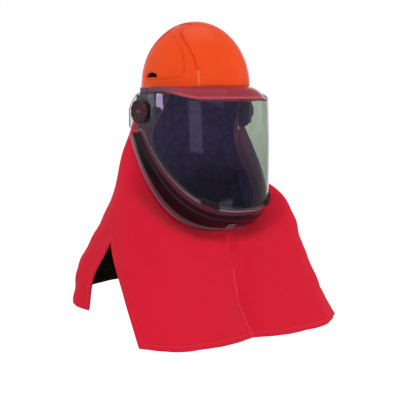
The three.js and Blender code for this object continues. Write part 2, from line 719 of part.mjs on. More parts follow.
// The collar: round the nape by its table, then along the outer edge of the chin cup, inside it.
const collarLine = [
  ...napeLine.map(([share, x, y, z]) => [share, x * openingHalfWidth, -y * hatHalfLength, rimZ - z * neckDrop]),
  ...steps(slitShare, 1, 5).map((share) => {
    const turn = radians(collarLastTurn) * (1 - share) / (1 - slitShare);
    const edge = cupEdge(turn);
    return [
      share, edge.x - collarFit * Math.sin(turn), edge.y + collarFit * Math.cos(turn), edge.z - collarFit / 3,
    ];
  }),
];

// The six rings at a share: the top edge, the collar, the yoke, the shoulders, the middle and the hem.
function ringsAt(share, front) {
  const rimWidth = hatHalfWidth - hatWall - hoodFit;
  const rimLength = hatHalfLength - hatWall - hoodFit;
  const turn = Math.PI - (share / templeShare) * (Math.PI - templeTurn);
  const top = share <= templeShare
    ? new THREE.Vector3(Math.sin(turn) * rimWidth, -Math.cos(turn) * rimLength, rimZ - rimHeight + hoodTuck)
    : ringPoint(openingEdge, share, openingHalfWidth, hatHalfLength, neckDrop);
  const collar = new THREE.Vector3(...alongRows(collarLine, share, [1, 2, 3]));
  const yoke = wearerPoint(yokeLine, share, yokeDrop);
  const shoulder = wearerPoint(shoulderLine, share, shoulderDrop);
  const middle = front
    ? ringPoint(middleFront, share, bibHalfWidth, bibReach, hemDrop)
    : ringPoint(middleBack, share, backHalfWidth, backReach, hemDrop);
  const hem = front
    ? ringPoint(hemFront, share, bibHalfWidth, bibReach, hemDrop)
    : ringPoint(hemBack, share, backHalfWidth, backReach, hemDrop);
  return [top, collar, yoke, shoulder, middle, hem];
}

// A point of the cloth: a smooth line down through the six rings, moved in or out by the folds.
function clothPoint(share, row, front) {
  const rings = ringsAt(share, front);
  const stations = rings.map((p, i) => [i, p.x, p.y, p.z]);
  if (Math.abs(share - slitShare) < 1e-6 && row <= slitRow) {
    const other = ringsAt(share, !front);
    const middle = rings[slitRow + 1].clone().add(other[slitRow + 1]).multiplyScalar(0.5);
    stations[slitRow + 1] = [slitRow + 1, middle.x, middle.y, middle.z];
  }
  const [x, y, z] = alongRows(stations, row, [1, 2, 3]);
  let out = 0;
  for (const fold of folds) {
    const along = smooth(row, fold.from, fold.from + 0.8) * (1 - smooth(row, fold.to, fold.to + 0.8));
    out += fold.out * along * Math.exp(-(((share - fold.at) / fold.wide) ** 2));
  }
  const away = new THREE.Vector2(x, y).normalize();
  return new THREE.Vector3(x + away.x * out, y + away.y * out, z);
}

const clothRows = [0, 0.5, 1, 1.3, 1.65, 2, 2.5, slitRow, 3.35, 3.7, 4.3, 5];
const backShares = steps(0, slitShare, 10);
const frontShares = steps(slitShare, 1, 14);

// Rows of points for one panel, from the wearer's left round to the right, seen from outside.
function panelRows(shares, rows, front) {
  return rows.map((row) => {
    const half = shares.map((share) => clothPoint(share, row, front));
    const other = half.map((p) => new THREE.Vector3(-p.x, p.y, p.z));
    const centreFirst = front ? [...half].reverse() : half;
    const centreFirstOther = front ? [...other].reverse() : other;
    return [...centreFirstOther.slice(1).reverse(), ...centreFirst];
  });
}

// The quads start at mirrored corners on the two sides, so that both sides split alike.
function clothQuads() {
  const front = quadsOf(panelRows(frontShares, clothRows, true));
  const back = quadsOf(panelRows(backShares, clothRows, false).map((line) => line.reverse()));
  return [...front, ...back].map(([a, b, c, d]) => (a.x + c.x < 0 ? [b, c, d, a] : [a, b, c, d]));
}

const hoodQuads = clothQuads();
const hoodCloth = () => wallOnQuads(hoodQuads, 0, -clothWall);
const hoodLining = () => wallOnQuads(hoodQuads, -clothWall - liningGap, -clothWall - liningGap - liningWall);

// The whole

const root = new THREE.Group();
root.add(nodeMesh('hat_shell', hatShell(), 'shell'));
root.add(nodeMesh('brow_guard', browGuard(), 'tint'));
root.add(nodeMesh('hood_cloth', hoodCloth(), 'red'));
root.add(nodeMesh('hood_lining', hoodLining(), 'black'));

const visor = new THREE.Group();
visor.add(nodeMesh('lens', lens(), 'lens'));
visor.add(nodeMesh('chin_cup', chinCup(), 'cup'));
visor.add(nodeMesh('chin_rim', chinRim(), 'rim'));
visor.add(nodeMesh('chin_pad', chinPad(), 'rim'));
root.add(visor);

for (const [word, side] of [['left', 1], ['right', -1]]) {
  root.add(nodeMesh('bracket_' + word, bracket(side), 'bracket'));
  root.add(nodeMesh('bracket_strip_' + word, strip(side), 'light'));
  root.add(nodeMesh('knob_' + word, knob(side), 'knob'));
  root.add(nodeMesh('knob_screw_' + word, knobScrew(side), 'light'));
  visor.add(nodeMesh('clip_' + word, clip(side), 'bracket'));
}

export default root;
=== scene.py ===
"""The looks of an arc flash hood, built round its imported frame.

Lengths are in millimetres until a mesh is made, and metres after that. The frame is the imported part's own:
the origin at the crown of the wearer's head, +Z up, the wearer facing -Y with the right side at -X.
"""
import logging
import math
from collections.abc import Callable, Sequence
from dataclasses import dataclass, field
from enum import Enum
from functools import cache

import bmesh
import bpy
import numpy as np
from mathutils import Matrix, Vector
from numpy.typing import NDArray


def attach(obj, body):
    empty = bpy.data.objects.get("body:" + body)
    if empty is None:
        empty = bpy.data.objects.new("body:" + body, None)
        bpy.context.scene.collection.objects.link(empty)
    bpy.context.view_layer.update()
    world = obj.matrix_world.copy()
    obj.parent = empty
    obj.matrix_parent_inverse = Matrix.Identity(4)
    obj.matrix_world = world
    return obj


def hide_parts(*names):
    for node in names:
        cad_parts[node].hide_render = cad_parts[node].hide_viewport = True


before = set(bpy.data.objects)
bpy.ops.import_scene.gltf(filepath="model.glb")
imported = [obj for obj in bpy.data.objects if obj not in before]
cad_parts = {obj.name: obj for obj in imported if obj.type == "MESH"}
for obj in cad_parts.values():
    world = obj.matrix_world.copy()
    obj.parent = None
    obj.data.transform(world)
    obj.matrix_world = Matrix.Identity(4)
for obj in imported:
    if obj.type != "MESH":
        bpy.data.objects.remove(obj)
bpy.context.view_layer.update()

Array = NDArray[np.float64]
Colour = tuple[float, float, float]
Table = tuple[tuple[float, ...], ...]

MM = 0.001
NODE_WELD = 1e-6
FLAT_WITHIN = math.radians(1)
log = logging.getLogger("hood")


class Body(Enum):
    """The rigid bodies that pieces ride on."""

    HOOD = "hood"
    VISOR = "visor"
    KNOB_LEFT = "knob_left"
    KNOB_RIGHT = "knob_right"


class Side(Enum):
    """The wearer's two sides; the value is the sign of X."""

    LEFT = 1
    RIGHT = -1

    @property
    def word(self) -> str:
        """The side in lower-case letters, as node names have it."""
        return self.name.lower()

    @property
    def axes(self) -> Array:
        """Rows that carry an outline drawn in Y and Z out to this side."""
        return np.array([[0, self.value, 0], [0, 0, 1], [self.value, 0, 0]], float)


class Seen(Enum):
    """What a light shows up in: everything, only matt light, or only reflections."""

    ALL = "all"
    MATT = "matt"
    GLOSS = "gloss"


class Panel(Enum):
    """The two halves of the cloth below the slits."""

    FRONT = "front"
    BACK = "back"


# Numbers and surfaces


def smooth(x: Array, low: float, high: float) -> Array:
    """Smooth step: t squared times (3 - 2t), t being where x lies between low and high, held to 0..1.

    Args:
        x: Values to place.
        low: Where the step leaves 0.
        high: Where it reaches 1.

    Returns:
        An array like x.
    """
    t = np.clip((np.asarray(x, float) - low) / (high - low), 0, 1)
    return t * t * (3 - 2 * t)


def mix(a: Array, b: Array, t: Array) -> Array:
    """Straight blend: a + (b - a) times t."""
    return a + (b - a) * t


def hermite(knots: Array, values: Array, at: Array) -> Array:
    """A smooth path through knots: cubic pieces whose slope at a knot joins its two neighbours.

    Args:
        knots: Rising places, shape (n,).
        values: What the path passes through, shape (n, ...).
        at: Places to work out, shape (m,).

    Returns:
        An array of shape (m, ...).
    """
    slopes = np.empty_like(values)
    shape = (-1,) + (1,) * (values.ndim - 1)
    slopes[1:-1] = (values[2:] - values[:-2]) / (knots[2:] - knots[:-2]).reshape(shape)
    slopes[0] = (values[1] - values[0]) / (knots[1] - knots[0])
    slopes[-1] = (values[-1] - values[-2]) / (knots[-1] - knots[-2])
    k = np.searchsorted(knots[1:-1], at, side="left")
    span = (knots[k + 1] - knots[k]).reshape(shape)
    t = ((at - knots[k]).reshape(shape)) / span
    rise = values[k + 1] - values[k]
    a, b = slopes[k] * span, slopes[k + 1] * span
    return values[k] + a * t + (3 * rise - 2 * a - b) * t**2 + (a + b - 2 * rise) * t**3


def along(table: Sequence[Sequence[float]], share: Array) -> Array:
    """The columns of a table after its first, at shares between those of its first column."""
    rows = np.array(table, float)
    return hermite(rows[:, 0], rows[:, 1:], share)


def unit(v: Array) -> Array:
    """Vectors along the last axis, each divided by its length."""
    return v / np.maximum(np.linalg.norm(v, axis=-1, keepdims=True), 1e-12)


def ripple(a: Array, b: Array, seed: int, waves: int = 7, pitch: float = 1.6) -> Array:
    """Soft unevenness between about -1 and 1: a sum of sine waves of two variables, drawn with a fixed seed.

    Args:
        a: First variable, about one wave per unit.
        b: Second variable.
        seed: Fixes the draw.
        waves: How many sines are summed.
        pitch: The most waves that a sine has per unit.

    Returns:
        An array shaped like a and b together.
    """
    draw = np.random.default_rng(seed)
    total = np.zeros(np.broadcast(a, b).shape)
    low, high = (-pitch, -pitch, 0), (pitch, pitch, 2 * math.pi)
    for pitch_a, pitch_b, phase in draw.uniform(low, high, (waves, 3)):
        total += np.sin(2 * math.pi * (pitch_a * a + pitch_b * b) + phase)
    return total / math.sqrt(waves * 2)


def grid_faces(rows: int, columns: int, closed: bool = False) -> Array:
    """Quads of a grid whose rows run down and whose columns run anticlockwise seen from above.

    Args:
        rows: Rows of points.
        columns: Points in a row.
        closed: Whether the last column joins the first.

    Returns:
        Point indices, four a face, anticlockwise from outside.
    """
    r = np.arange(rows - 1)[:, None]
    c = np.arange(columns if closed else columns - 1)[None, :]
    n = (c + 1) % columns
    corners = [r * columns + c, (r + 1) * columns + c, (r + 1) * columns + n, r * columns + n]
    return np.stack(np.broadcast_arrays(*corners), -1).reshape(-1, 4)


def grid_normals(points: Array) -> Array:
    """Unit normals of an open grid: at each point, the sum of the crossed diagonals of the quads round it.

    Args:
        points: Grid, shape (rows, columns, 3).

    Returns:
        An array of the same shape.
    """
    across = np.cross(points[1:, 1:] - points[:-1, :-1], points[:-1, 1:] - points[1:, :-1])
    total = np.zeros_like(points)
    for rows in (slice(None, -1), slice(1, None)):
        for columns in (slice(None, -1), slice(1, None)):
            total[rows, columns] += across
    return unit(total)


def path_lengths(points: Array, axis: int) -> Array:
    """Length along an axis of a grid, summed from its first point, same shape as the grid."""
    steps = np.linalg.norm(np.diff(points, axis=axis), axis=-1)
    return np.insert(np.cumsum(steps, axis=axis), 0, 0, axis=axis)


@dataclass
class Skin:
    """Points in millimetres with quads, and what goes with each point."""

    points: Array
    faces: Array
    uv: Array | None = None
    marks: dict[str, Array] = field(default_factory=dict)
    edge_faces: int = 0

    def join(self, other: "Skin") -> "Skin":
        """This skin and another as one, with no edge faces counted.

        Args:
            other: A skin with the same marks, and with a flat map where this one has one.

        Returns:
            The joined skin, the other's points and faces after this one's.
        """
        return Skin(
            np.concatenate([self.points, other.points]),
            np.concatenate([self.faces, other.faces + len(self.points)]),
            None if self.uv is None else np.concatenate([self.uv, other.uv]),
            {name: np.concatenate([values, other.marks[name]]) for name, values in self.marks.items()})


def wall(points: Array, outer: float, inner: float, marks: dict[str, Array] | None = None) -> Skin:
    """A closed wall on an open grid, from one stand-off along its normals to another, its rim faces last.

    Args:
        points: Grid, shape (rows, columns, 3).
        outer: Stand-off of the outer face.
        inner: Stand-off of the inner face.
        marks: Named values of each point, shape (rows, columns).

    Returns:
        The wall's skin. edge_faces counts the faces of its rim, which are the last ones.
    """
    rows, columns = points.shape[:2]
    normals = grid_normals(points)
    faces = grid_faces(rows, columns)
    count = rows * columns
    turned = faces[:, ::-1] + count
    index = np.arange(count).reshape(rows, columns)
    rim = []
    for line, flip in ((index[0], True), (index[-1], False), (index[:, 0], False), (index[:, -1], True)):
        a, b = line[:-1], line[1:]
        quad = np.stack([a, b, b + count, a + count], -1)
        rim.append(quad if flip else quad[:, ::-1])
    edges = np.concatenate(rim)[:, ::-1]
    both_sides = [(points + normals * stand).reshape(-1, 3) for stand in (outer, inner)]
    return Skin(
        np.concatenate(both_sides),
        np.concatenate([faces, turned, edges]),
        marks={name: np.tile(values.reshape(count), 2) for name, values in (marks or {}).items()},
        edge_faces=len(edges))


def rings(rows: Array, marks: dict[str, Array] | None = None) -> Skin:
    """A solid whose surface is one grid of rings, closed on its axis or on itself.

    Args:
        rows: Rings of points, shape (rings, points, 3).
        marks: Named values of each point, shape (rings, points).

    Returns:
        The solid's skin.
    """
    values = {name: grid.reshape(-1) for name, grid in (marks or {}).items()}
    return Skin(rows.reshape(-1, 3), grid_faces(*rows.shape[:2], closed=True), marks=values)


def make_object(name: str, skin: Skin, weld: float = 1e-3, solid: bool = True) -> bpy.types.Object:
    """A mesh object from a skin, with its coincident points merged and smooth faces.

    Args:
        name: The piece's name.
        skin: Its points, quads, UVs and marks.
        weld: Points nearer than this, in millimetres, become one.
        solid: Whether it is closed, so that its faces can be turned outward.

    Returns:
        The object, at the origin.
    """
    mesh = bpy.data.meshes.new(name)
    mesh.from_pydata((skin.points * MM).tolist(), [], skin.faces.tolist())
    if skin.uv is not None:
        corner = np.empty(len(mesh.loops), np.int32)
        mesh.loops.foreach_get("vertex_index", corner)
        layer = mesh.uv_layers.new(name="flat")
        layer.data.foreach_set("uv", (skin.uv[corner] * MM).astype(np.float32).ravel())
    for key, values in skin.marks.items():
        mesh.attributes.new(key, "FLOAT", "POINT").data.foreach_set("value", values.astype(np.float32))
    if skin.edge_faces:
        slots = np.zeros(len(mesh.polygons), np.int32)
        slots[-skin.edge_faces:] = 1
        mesh.polygons.foreach_set("material_index", slots)
    build = bmesh.new()
    build.from_mesh(mesh)
    bmesh.ops.remove_doubles(build, verts=build.verts, dist=weld * MM)
    if solid:
        bmesh.ops.recalc_face_normals(build, faces=build.faces)
    build.to_mesh(mesh)
    build.free()
    mesh.shade_smooth()
    piece = bpy.data.objects.new(name, mesh)
    bpy.context.scene.collection.objects.link(piece)
    return piece


def cut(piece: bpy.types.Object, cutters: Sequence[bpy.types.Object]) -> None:
    """Takes the cutters' solids out of a piece, keeps the result as its mesh and deletes the cutters.

    Args:
        piece: The piece to cut.
        cutters: Closed solids.
    """
    for cutter in cutters:
        step = piece.modifiers.new("cut", "BOOLEAN")
        step.operation, step.solver, step.object = "DIFFERENCE", "EXACT", cutter
    depsgraph = bpy.context.evaluated_depsgraph_get()
    result = bpy.data.meshes.new_from_object(piece.evaluated_get(depsgraph))
    old, piece.data = piece.data, result
    result.name = piece.name
    piece.modifiers.clear()
    bpy.data.meshes.remove(old)
    for cutter in cutters:
        bpy.data.objects.remove(cutter)


def soften(piece: bpy.types.Object, width: float, segments: int = 2, angle: float = 35) -> None:
    """Rounds a piece's sharp edges and sets its shading by area.

    Args:
        piece: The piece.
        width: Width of the rounding, in millimetres.
        segments: Faces across the rounding.
        angle: Edges sharper than this, in degrees, are rounded.
    """
    bevel = piece.modifiers.new("rounding", "BEVEL")
    bevel.width, bevel.segments, bevel.limit_method = width * MM, segments, "ANGLE"
    bevel.angle_limit = math.radians(angle)
    bevel.use_clamp_overlap = True
    shading = piece.modifiers.new("shading", "WEIGHTED_NORMAL")
    shading.keep_sharp = False


def prism(name: str, outline: Array, axis: Array, low: float, high: float) -> bpy.types.Object:
    """A straight solid: an outline in two axes carried along a third, capped at both ends.

    Args:
        name: The solid's name.
        outline: Points (n, 2), anticlockwise in the plane of the first two axes.
        axis: Rows are the first, second and carrying axes.
        low: Where it starts along the carrying axis, in millimetres.
        high: Where it ends.

    Returns:
        The object.
    """
    count = len(outline)
    flat = outline @ axis[:2]
    points = np.concatenate([flat + axis[2] * low, flat + axis[2] * high])
    i = np.arange(count)
    j = (i + 1) % count
    sides = np.stack([i, j, j + count, i + count], -1).tolist()
    mesh = bpy.data.meshes.new(name)
    mesh.from_pydata((points * MM).tolist(), [], sides + [i[::-1].tolist(), (i + count).tolist()])
    piece = bpy.data.objects.new(name, mesh)
    bpy.context.scene.collection.objects.link(piece)
    return piece


def rounded_outline(width: float, height: float, radius: float, centre: tuple[float, float] = (0, 0),
                    steps: int = 6) -> Array:
    """A rectangle with round corners: four quarter circles, joined by straight lines, anticlockwise.

    Args:
        width: Its size along the first axis.
        height: Its size along the second.
        radius: Radius of a corner.
        centre: Its middle.
        steps: Points in a corner.

    Returns:
        Points, shape (n, 2).
    """
    quarter = np.linspace(0, math.pi / 2, steps)
    corners = [
        np.stack([sx * (width / 2 - radius) + radius * np.cos(quarter + turn),
                  sy * (height / 2 - radius) + radius * np.sin(quarter + turn)], -1)
        for sx, sy, turn in ((1, 1, 0), (-1, 1, math.pi / 2), (-1, -1, math.pi), (1, -1, 1.5 * math.pi))
    ]
    return np.concatenate(corners) + np.array(centre)


def node_copy(name: str, node: str) -> bpy.types.Object:
    """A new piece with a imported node's own shape, its doubles merged and its flat faces made whole.

    Args:
        name: The piece's name.
        node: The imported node's name.

    Returns:
        The piece, smooth and without a material.
    """
    piece = bpy.data.objects.new(name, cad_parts[node].data.copy())
    bpy.context.scene.collection.objects.link(piece)
    build = bmesh.new()
    build.from_mesh(piece.data)
    bmesh.ops.remove_doubles(build, verts=build.verts, dist=NODE_WELD)
    bmesh.ops.dissolve_limit(
        build, angle_limit=FLAT_WITHIN, verts=build.verts, edges=build.edges, delimit={"NORMAL"})
    build.to_mesh(piece.data)
    build.free()
    piece.data.materials.clear()
    piece.data.shade_smooth()
    return piece


def dress(piece: bpy.types.Object, finishes: Sequence["Finish"], body: Body,
          nodes: Sequence[str]) -> None:
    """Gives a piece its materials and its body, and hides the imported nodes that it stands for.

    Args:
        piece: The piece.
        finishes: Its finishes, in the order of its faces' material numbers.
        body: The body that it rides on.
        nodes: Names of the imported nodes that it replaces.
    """
    for finish in finishes:
        piece.data.materials.append(finish.material())
    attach(piece, body.value)
    if nodes:
        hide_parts(*nodes)
    log.info("%s: %d faces, rides on %s", piece.name, len(piece.data.polygons), body.value)


# Finishes


class Nodes:
    """A node tree with short calls that add and join its nodes."""

    def __init__(self, tree: bpy.types.NodeTree) -> None:
        """Starts on a tree.

        Args:
            tree: The material's or group's tree.
        """
        self.tree = tree
        self.count = 0

    def add(self, kind: str, **settings: object) -> bpy.types.Node:
        """Adds a node.

        Args:
            kind: The node's type.
            **settings: Its properties, and its inputs by name with an underscore for a space.

        Returns:
            The node.
        """
        node = self.tree.nodes.new(kind)
        node.location = (self.count % 8 * 220, -(self.count // 8) * 260)
        self.count += 1
        for key, value in settings.items():
            if hasattr(node, key):
                setattr(node, key, value)
            else:
                self.put(node.inputs[key.replace("_", " ")], value)
        return node

    def put(self, socket: bpy.types.NodeSocket, value: object) -> None:
        """Joins an output to a socket, or sets the socket's own value.

        Args:
            socket: The input.
            value: An output socket, a number, a colour or another plain value.
        """
        if isinstance(value, bpy.types.NodeSocket):
            self.tree.links.new(value, socket)
        elif isinstance(value, tuple) and len(value) == 3 and socket.type == "RGBA":
            socket.default_value = (*value, 1)
        else:
            socket.default_value = value

    def maths(self, operation: str, a: object, b: object = 0.0, c: object = 0.0) -> bpy.types.NodeSocket:
        """Works one operation on up to three numbers.

        Args:
            operation: The Math node's operation.
            a: First number or socket.
            b: Second.
            c: Third, for operations that take three.

        Returns:
            The result.
        """
        node = self.add("ShaderNodeMath", operation=operation)
        for socket, value in zip(node.inputs, (a, b, c)):
            self.put(socket, value)
        return node.outputs[0]

    def blend(self, a: object, b: object, share: object, way: str = "MIX") -> bpy.types.NodeSocket:
        """Two colours mixed.

        Args:
            a: The first colour.
            b: The second.
            share: How much of the second.
            way: The Mix node's blend type.

        Returns:
            The mixed colour.
        """
        node = self.add("ShaderNodeMix", data_type="RGBA", blend_type=way)
        self.put(node.inputs[0], share)
        self.put(node.inputs[6], a)
        self.put(node.inputs[7], b)
        return node.outputs[2]

    def step(self, value: object, low: float, high: float, to_low: float = 0.0,
             to_high: float = 1.0) -> bpy.types.NodeSocket:
        """A value carried smoothly from one range into another.

        Args:
            value: What is carried.
            low: Start of its range.
            high: End of its range.
            to_low: What low becomes.
            to_high: What high becomes.

        Returns:
            The carried value.
        """
        node = self.add("ShaderNodeMapRange", interpolation_type="SMOOTHSTEP")
        for socket, number in zip(node.inputs, (value, low, high, to_low, to_high)):
            self.put(socket, number)
        return node.outputs[0]

    def group(self, tree: bpy.types.NodeTree, **inputs: object) -> bpy.types.Node:
        """Places a shared group in this tree with its own values.

        Args:
            tree: The group.
            **inputs: Its inputs by name, with an underscore for a space.

        Returns:
            The group's node.
        """
        node = self.add("ShaderNodeGroup")
        node.node_tree = tree
        for key, value in inputs.items():
            self.put(node.inputs[key.replace("_", " ")], value)
        return node


def new_group(name: str, inputs: Sequence[tuple[str, str, float]], outputs: Sequence[str]) -> tuple[
        bpy.types.NodeTree, Nodes, bpy.types.Node, bpy.types.Node]:
    """An empty shader group with its sockets.

    Args:
        name: The group's name.
        inputs: Name, socket kind and default of each input.
        outputs: Names of its value outputs.

    Returns:
        The tree, its helper, and its input and output nodes.
    """
    tree = bpy.data.node_groups.new(name, "ShaderNodeTree")
    for label, kind, default in inputs:
        socket = tree.interface.new_socket(label, in_out="INPUT", socket_type="NodeSocket" + kind)
        if kind == "Float":
            socket.default_value = default
    for label in outputs:
        tree.interface.new_socket(label, in_out="OUTPUT", socket_type="NodeSocketFloat")
    nodes = Nodes(tree)
    return tree, nodes, nodes.add("NodeGroupInput"), nodes.add("NodeGroupOutput")


class Effects:
    """The shader groups that several finishes share, each built at its first use."""

    roughness_swing: float = 0.25
    yarn_share: float = 0.4
    rib_share: float = 0.6
    fuzz_share: float = 0.5
    least_shade: float = 0.93
    shade_swing: float = 0.14
    crease_reach: float = 0.35

    @classmethod
    @cache
    def uneven(cls) -> bpy.types.NodeTree:
        """Soft mottling: two octaves of noise about a middle of one, and fine grain as a height.

        Returns:
            The group, with the outputs Tone, Roughness and Height.
        """
        tree, nodes, given, result = new_group(
            "uneven_surface",
            [("Vector", "Vector", 0), ("Scale", "Float", 9), ("Amount", "Float", 0.06),
             ("Grain", "Float", 900)],
            ["Tone", "Roughness", "Height"])
        place = given.outputs["Vector"]
        broad = nodes.add("ShaderNodeTexNoise", Vector=place, Scale=given.outputs["Scale"], Detail=3.0,
                          Roughness=0.55)
        fine = nodes.add("ShaderNodeTexNoise", Vector=place, Scale=given.outputs["Grain"], Detail=2.0,
                         Roughness=0.5)
        swing = nodes.maths("SUBTRACT", broad.outputs["Fac"], 0.5)
        tone = nodes.maths("MULTIPLY", swing, given.outputs["Amount"])
        nodes.put(result.inputs["Tone"], nodes.maths("MULTIPLY_ADD", tone, 2.0, 1.0))
        nodes.put(result.inputs["Roughness"], nodes.maths("MULTIPLY", swing, cls.roughness_swing))
        nodes.put(result.inputs["Height"], fine.outputs["Fac"])
        return tree

    @classmethod
    @cache
    def weave(cls) -> bpy.types.NodeTree:
        """Twill weave on a flat map: yarn rows across yarn columns, each row shifted by a third of a pitch.

        Returns:
            The group, with the outputs Height and Shade.
        """
        tree, nodes, given, result = new_group(
            "twill_weave", [("Vector", "Vector", 0), ("Pitch", "Float", 0.0011)], ["Height", "Shade"])
        place = nodes.add("ShaderNodeSeparateXYZ", Vector=given.outputs["Vector"])
        across = nodes.maths("DIVIDE", place.outputs["X"], given.outputs["Pitch"])
        down = nodes.maths("DIVIDE", place.outputs["Y"], given.outputs["Pitch"])
        slant = nodes.maths("MULTIPLY", nodes.maths("ADD", across, down), 2 * math.pi / 3)
        rib = nodes.maths("MULTIPLY_ADD", nodes.maths("SINE", slant), 0.5, 0.5)
        yarn = nodes.maths("ABSOLUTE", nodes.maths("SINE", nodes.maths("MULTIPLY", down, math.pi)))
        ribbed = nodes.maths("MULTIPLY", rib, cls.rib_share)
        height = nodes.maths("MULTIPLY_ADD", yarn, cls.yarn_share, ribbed)
        fuzz = nodes.add("ShaderNodeTexNoise", Vector=given.outputs["Vector"], Scale=2600.0, Detail=2.0)
        rough = nodes.maths("MULTIPLY_ADD", fuzz.outputs["Fac"], cls.fuzz_share, height)
        nodes.put(result.inputs["Height"], rough)
        shade = nodes.maths("MULTIPLY_ADD", height, cls.shade_swing, cls.least_shade)
        nodes.put(result.inputs["Shade"], shade)
        return tree

    @classmethod
    @cache
    def crumple(cls) -> bpy.types.NodeTree:
        """Creased cloth: the distance to the edges of noise-bent cells, as a height.

        Returns:
            The group, with the output Height.
        """
        tree, nodes, given, result = new_group(
            "crumpled_cloth", [("Vector", "Vector", 0), ("Scale", "Float", 16)], ["Height"])
        bend = nodes.add("ShaderNodeTexNoise", Vector=given.outputs["Vector"], Scale=9.0, Detail=2.0)
        shift = nodes.add("ShaderNodeVectorMath", operation="SCALE", Scale=0.05)
        nodes.put(shift.inputs[0], bend.outputs["Color"])
        moved = nodes.add("ShaderNodeVectorMath", operation="ADD")
        nodes.put(moved.inputs[0], given.outputs["Vector"])
        nodes.put(moved.inputs[1], shift.outputs[0])
        cells = nodes.add("ShaderNodeTexVoronoi", feature="DISTANCE_TO_EDGE", Vector=moved.outputs[0],
                          Scale=given.outputs["Scale"])
        height = nodes.step(cells.outputs["Distance"], 0.0, cls.crease_reach)
        nodes.put(result.inputs["Height"], height)
        return tree


class Finish:
    """A surface finish. The same finish gives the same material each time."""

    made: dict[str, bpy.types.Material] = {}
    name: str

    def material(self) -> bpy.types.Material:
        """Builds the finish's material at its first use.

        Returns:
            The material.
        """
        if self.name not in Finish.made:
            material = bpy.data.materials.new(self.name)
            material.use_nodes = True
            material.node_tree.nodes.clear()
            nodes = Nodes(material.node_tree)
            out = nodes.add("ShaderNodeOutputMaterial")
            nodes.put(out.inputs["Surface"], self.surface(nodes))
            Finish.made[self.name] = material
        return Finish.made[self.name]

    def surface(self, nodes: Nodes) -> bpy.types.NodeSocket:
        """The shader that goes to the material's output."""
        raise NotImplementedError


def object_place(nodes: Nodes) -> bpy.types.NodeSocket:
    """Object coordinates, in metres."""
    return nodes.add("ShaderNodeTexCoord").outputs["Object"]


def mark(nodes: Nodes, name: str) -> bpy.types.NodeSocket:
    """The value that a mesh attribute holds."""
    return nodes.add("ShaderNodeAttribute", attribute_name=name).outputs["Fac"]


def mottling(nodes: Nodes, amount: float, grain: float, scale: float = 9.0) -> bpy.types.Node:
    """The uneven-surface group, on object coordinates."""
    return nodes.group(Effects.uneven(), Vector=object_place(nodes), Amount=amount, Grain=grain, Scale=scale)


def toned(nodes: Nodes, colour: object, level: bpy.types.NodeSocket) -> bpy.types.NodeSocket:
    """A colour times a grey of a level."""
    grey = nodes.add("ShaderNodeCombineColor", Red=level, Green=level, Blue=level).outputs[0]
    return nodes.blend(colour, grey, 1.0, "MULTIPLY")


@dataclass(frozen=True)
class MouldedPlastic(Finish):
    """Injection-moulded plastic: mottled a little, with a fine skin and an optional clear gloss."""

    name: str
    colour: Colour
    roughness: float = 0.4
    specular: float = 0.4
    coat: float = 0.0
    coat_roughness: float = 0.08
    grain: float = 900
    grain_depth: float = 0.03
    grain_reach: float = 0.001
    mottle: float = 0.05
    # low_shade paints shade below a level; the two marked colours after it paint shade and a highlight
    low_shade: Colour | None = None
    low_from: float = 0.0
    low_to: float = 0.0
    crease: Colour | None = None
    glint: Colour | None = None

    def surface(self, nodes: Nodes) -> bpy.types.NodeSocket:
        """Colour times mottling, darker below a level where low_shade is set; noise grain as bump.

        Two optional colours blend in by marks of their own names: on the hat, painted shade and a painted
        highlight along the relief's edges.

        Args:
            nodes: The material's nodes.

        Returns:
            The shader.
        """
        uneven = mottling(nodes, self.mottle, self.grain)
        colour: object = self.colour
        if self.low_shade:
            level = nodes.add("ShaderNodeSeparateXYZ", Vector=object_place(nodes)).outputs["Z"]
            colour = nodes.blend(self.low_shade, self.colour, nodes.step(level, self.low_from, self.low_to))
        if self.crease:
            colour = nodes.blend(colour, self.crease, mark(nodes, "crease"))
        if self.glint:
            colour = nodes.blend(colour, self.glint, mark(nodes, "glint"))
        bump = nodes.add("ShaderNodeBump", Strength=self.grain_depth, Distance=self.grain_reach,
                         Height=uneven.outputs["Height"])
        shader = nodes.add(
            "ShaderNodeBsdfPrincipled", Base_Color=toned(nodes, colour, uneven.outputs["Tone"]),
            Roughness=nodes.maths("ADD", uneven.outputs["Roughness"], self.roughness), Normal=bump.outputs[0],
            Specular_IOR_Level=self.specular, Coat_Weight=self.coat, Coat_Roughness=self.coat_roughness)
        return shader.outputs[0]


@dataclass(frozen=True)
class TintedPlastic(Finish):
    """See-through plastic, less so where it is seen edge-on, under a clear gloss."""

    name: str
    colour: Colour
    lip_highlight: Colour
    end_colour: Colour
    alpha: float = 0.85
    clear_to: float = 0.1
    solid_from: float = 0.9
    grazing: float = 0.35
    roughness: float = 0.12
    specular: float = 0.08
    coat: float = 0.06
    coat_roughness: float = 0.06
    mottle: float = 0.05
    grain: float = 500.0

    def surface(self, nodes: Nodes) -> bpy.types.NodeSocket:
        """Colour mixed towards its lip and end colours by the marks of those names; the lip colour is a
        painted highlight.

        Alpha rises to one at grazing angles.

        Args:
            nodes: The material's nodes.

        Returns:
            The shader.
        """
        uneven = mottling(nodes, self.mottle, self.grain)
        facing = nodes.add("ShaderNodeLayerWeight", Blend=self.grazing).outputs["Facing"]
        body = nodes.blend(self.colour, self.lip_highlight, mark(nodes, "lip"))
        body = nodes.blend(body, self.end_colour, mark(nodes, "end"))
        solid = nodes.step(facing, self.clear_to, self.solid_from, self.alpha, 1.0)
        shader = nodes.add(
            "ShaderNodeBsdfPrincipled", Base_Color=toned(nodes, body, uneven.outputs["Tone"]),
            Roughness=self.roughness, Alpha=solid,
            Specular_IOR_Level=self.specular, Coat_Weight=self.coat, Coat_Roughness=self.coat_roughness)
        return shader.outputs[0]


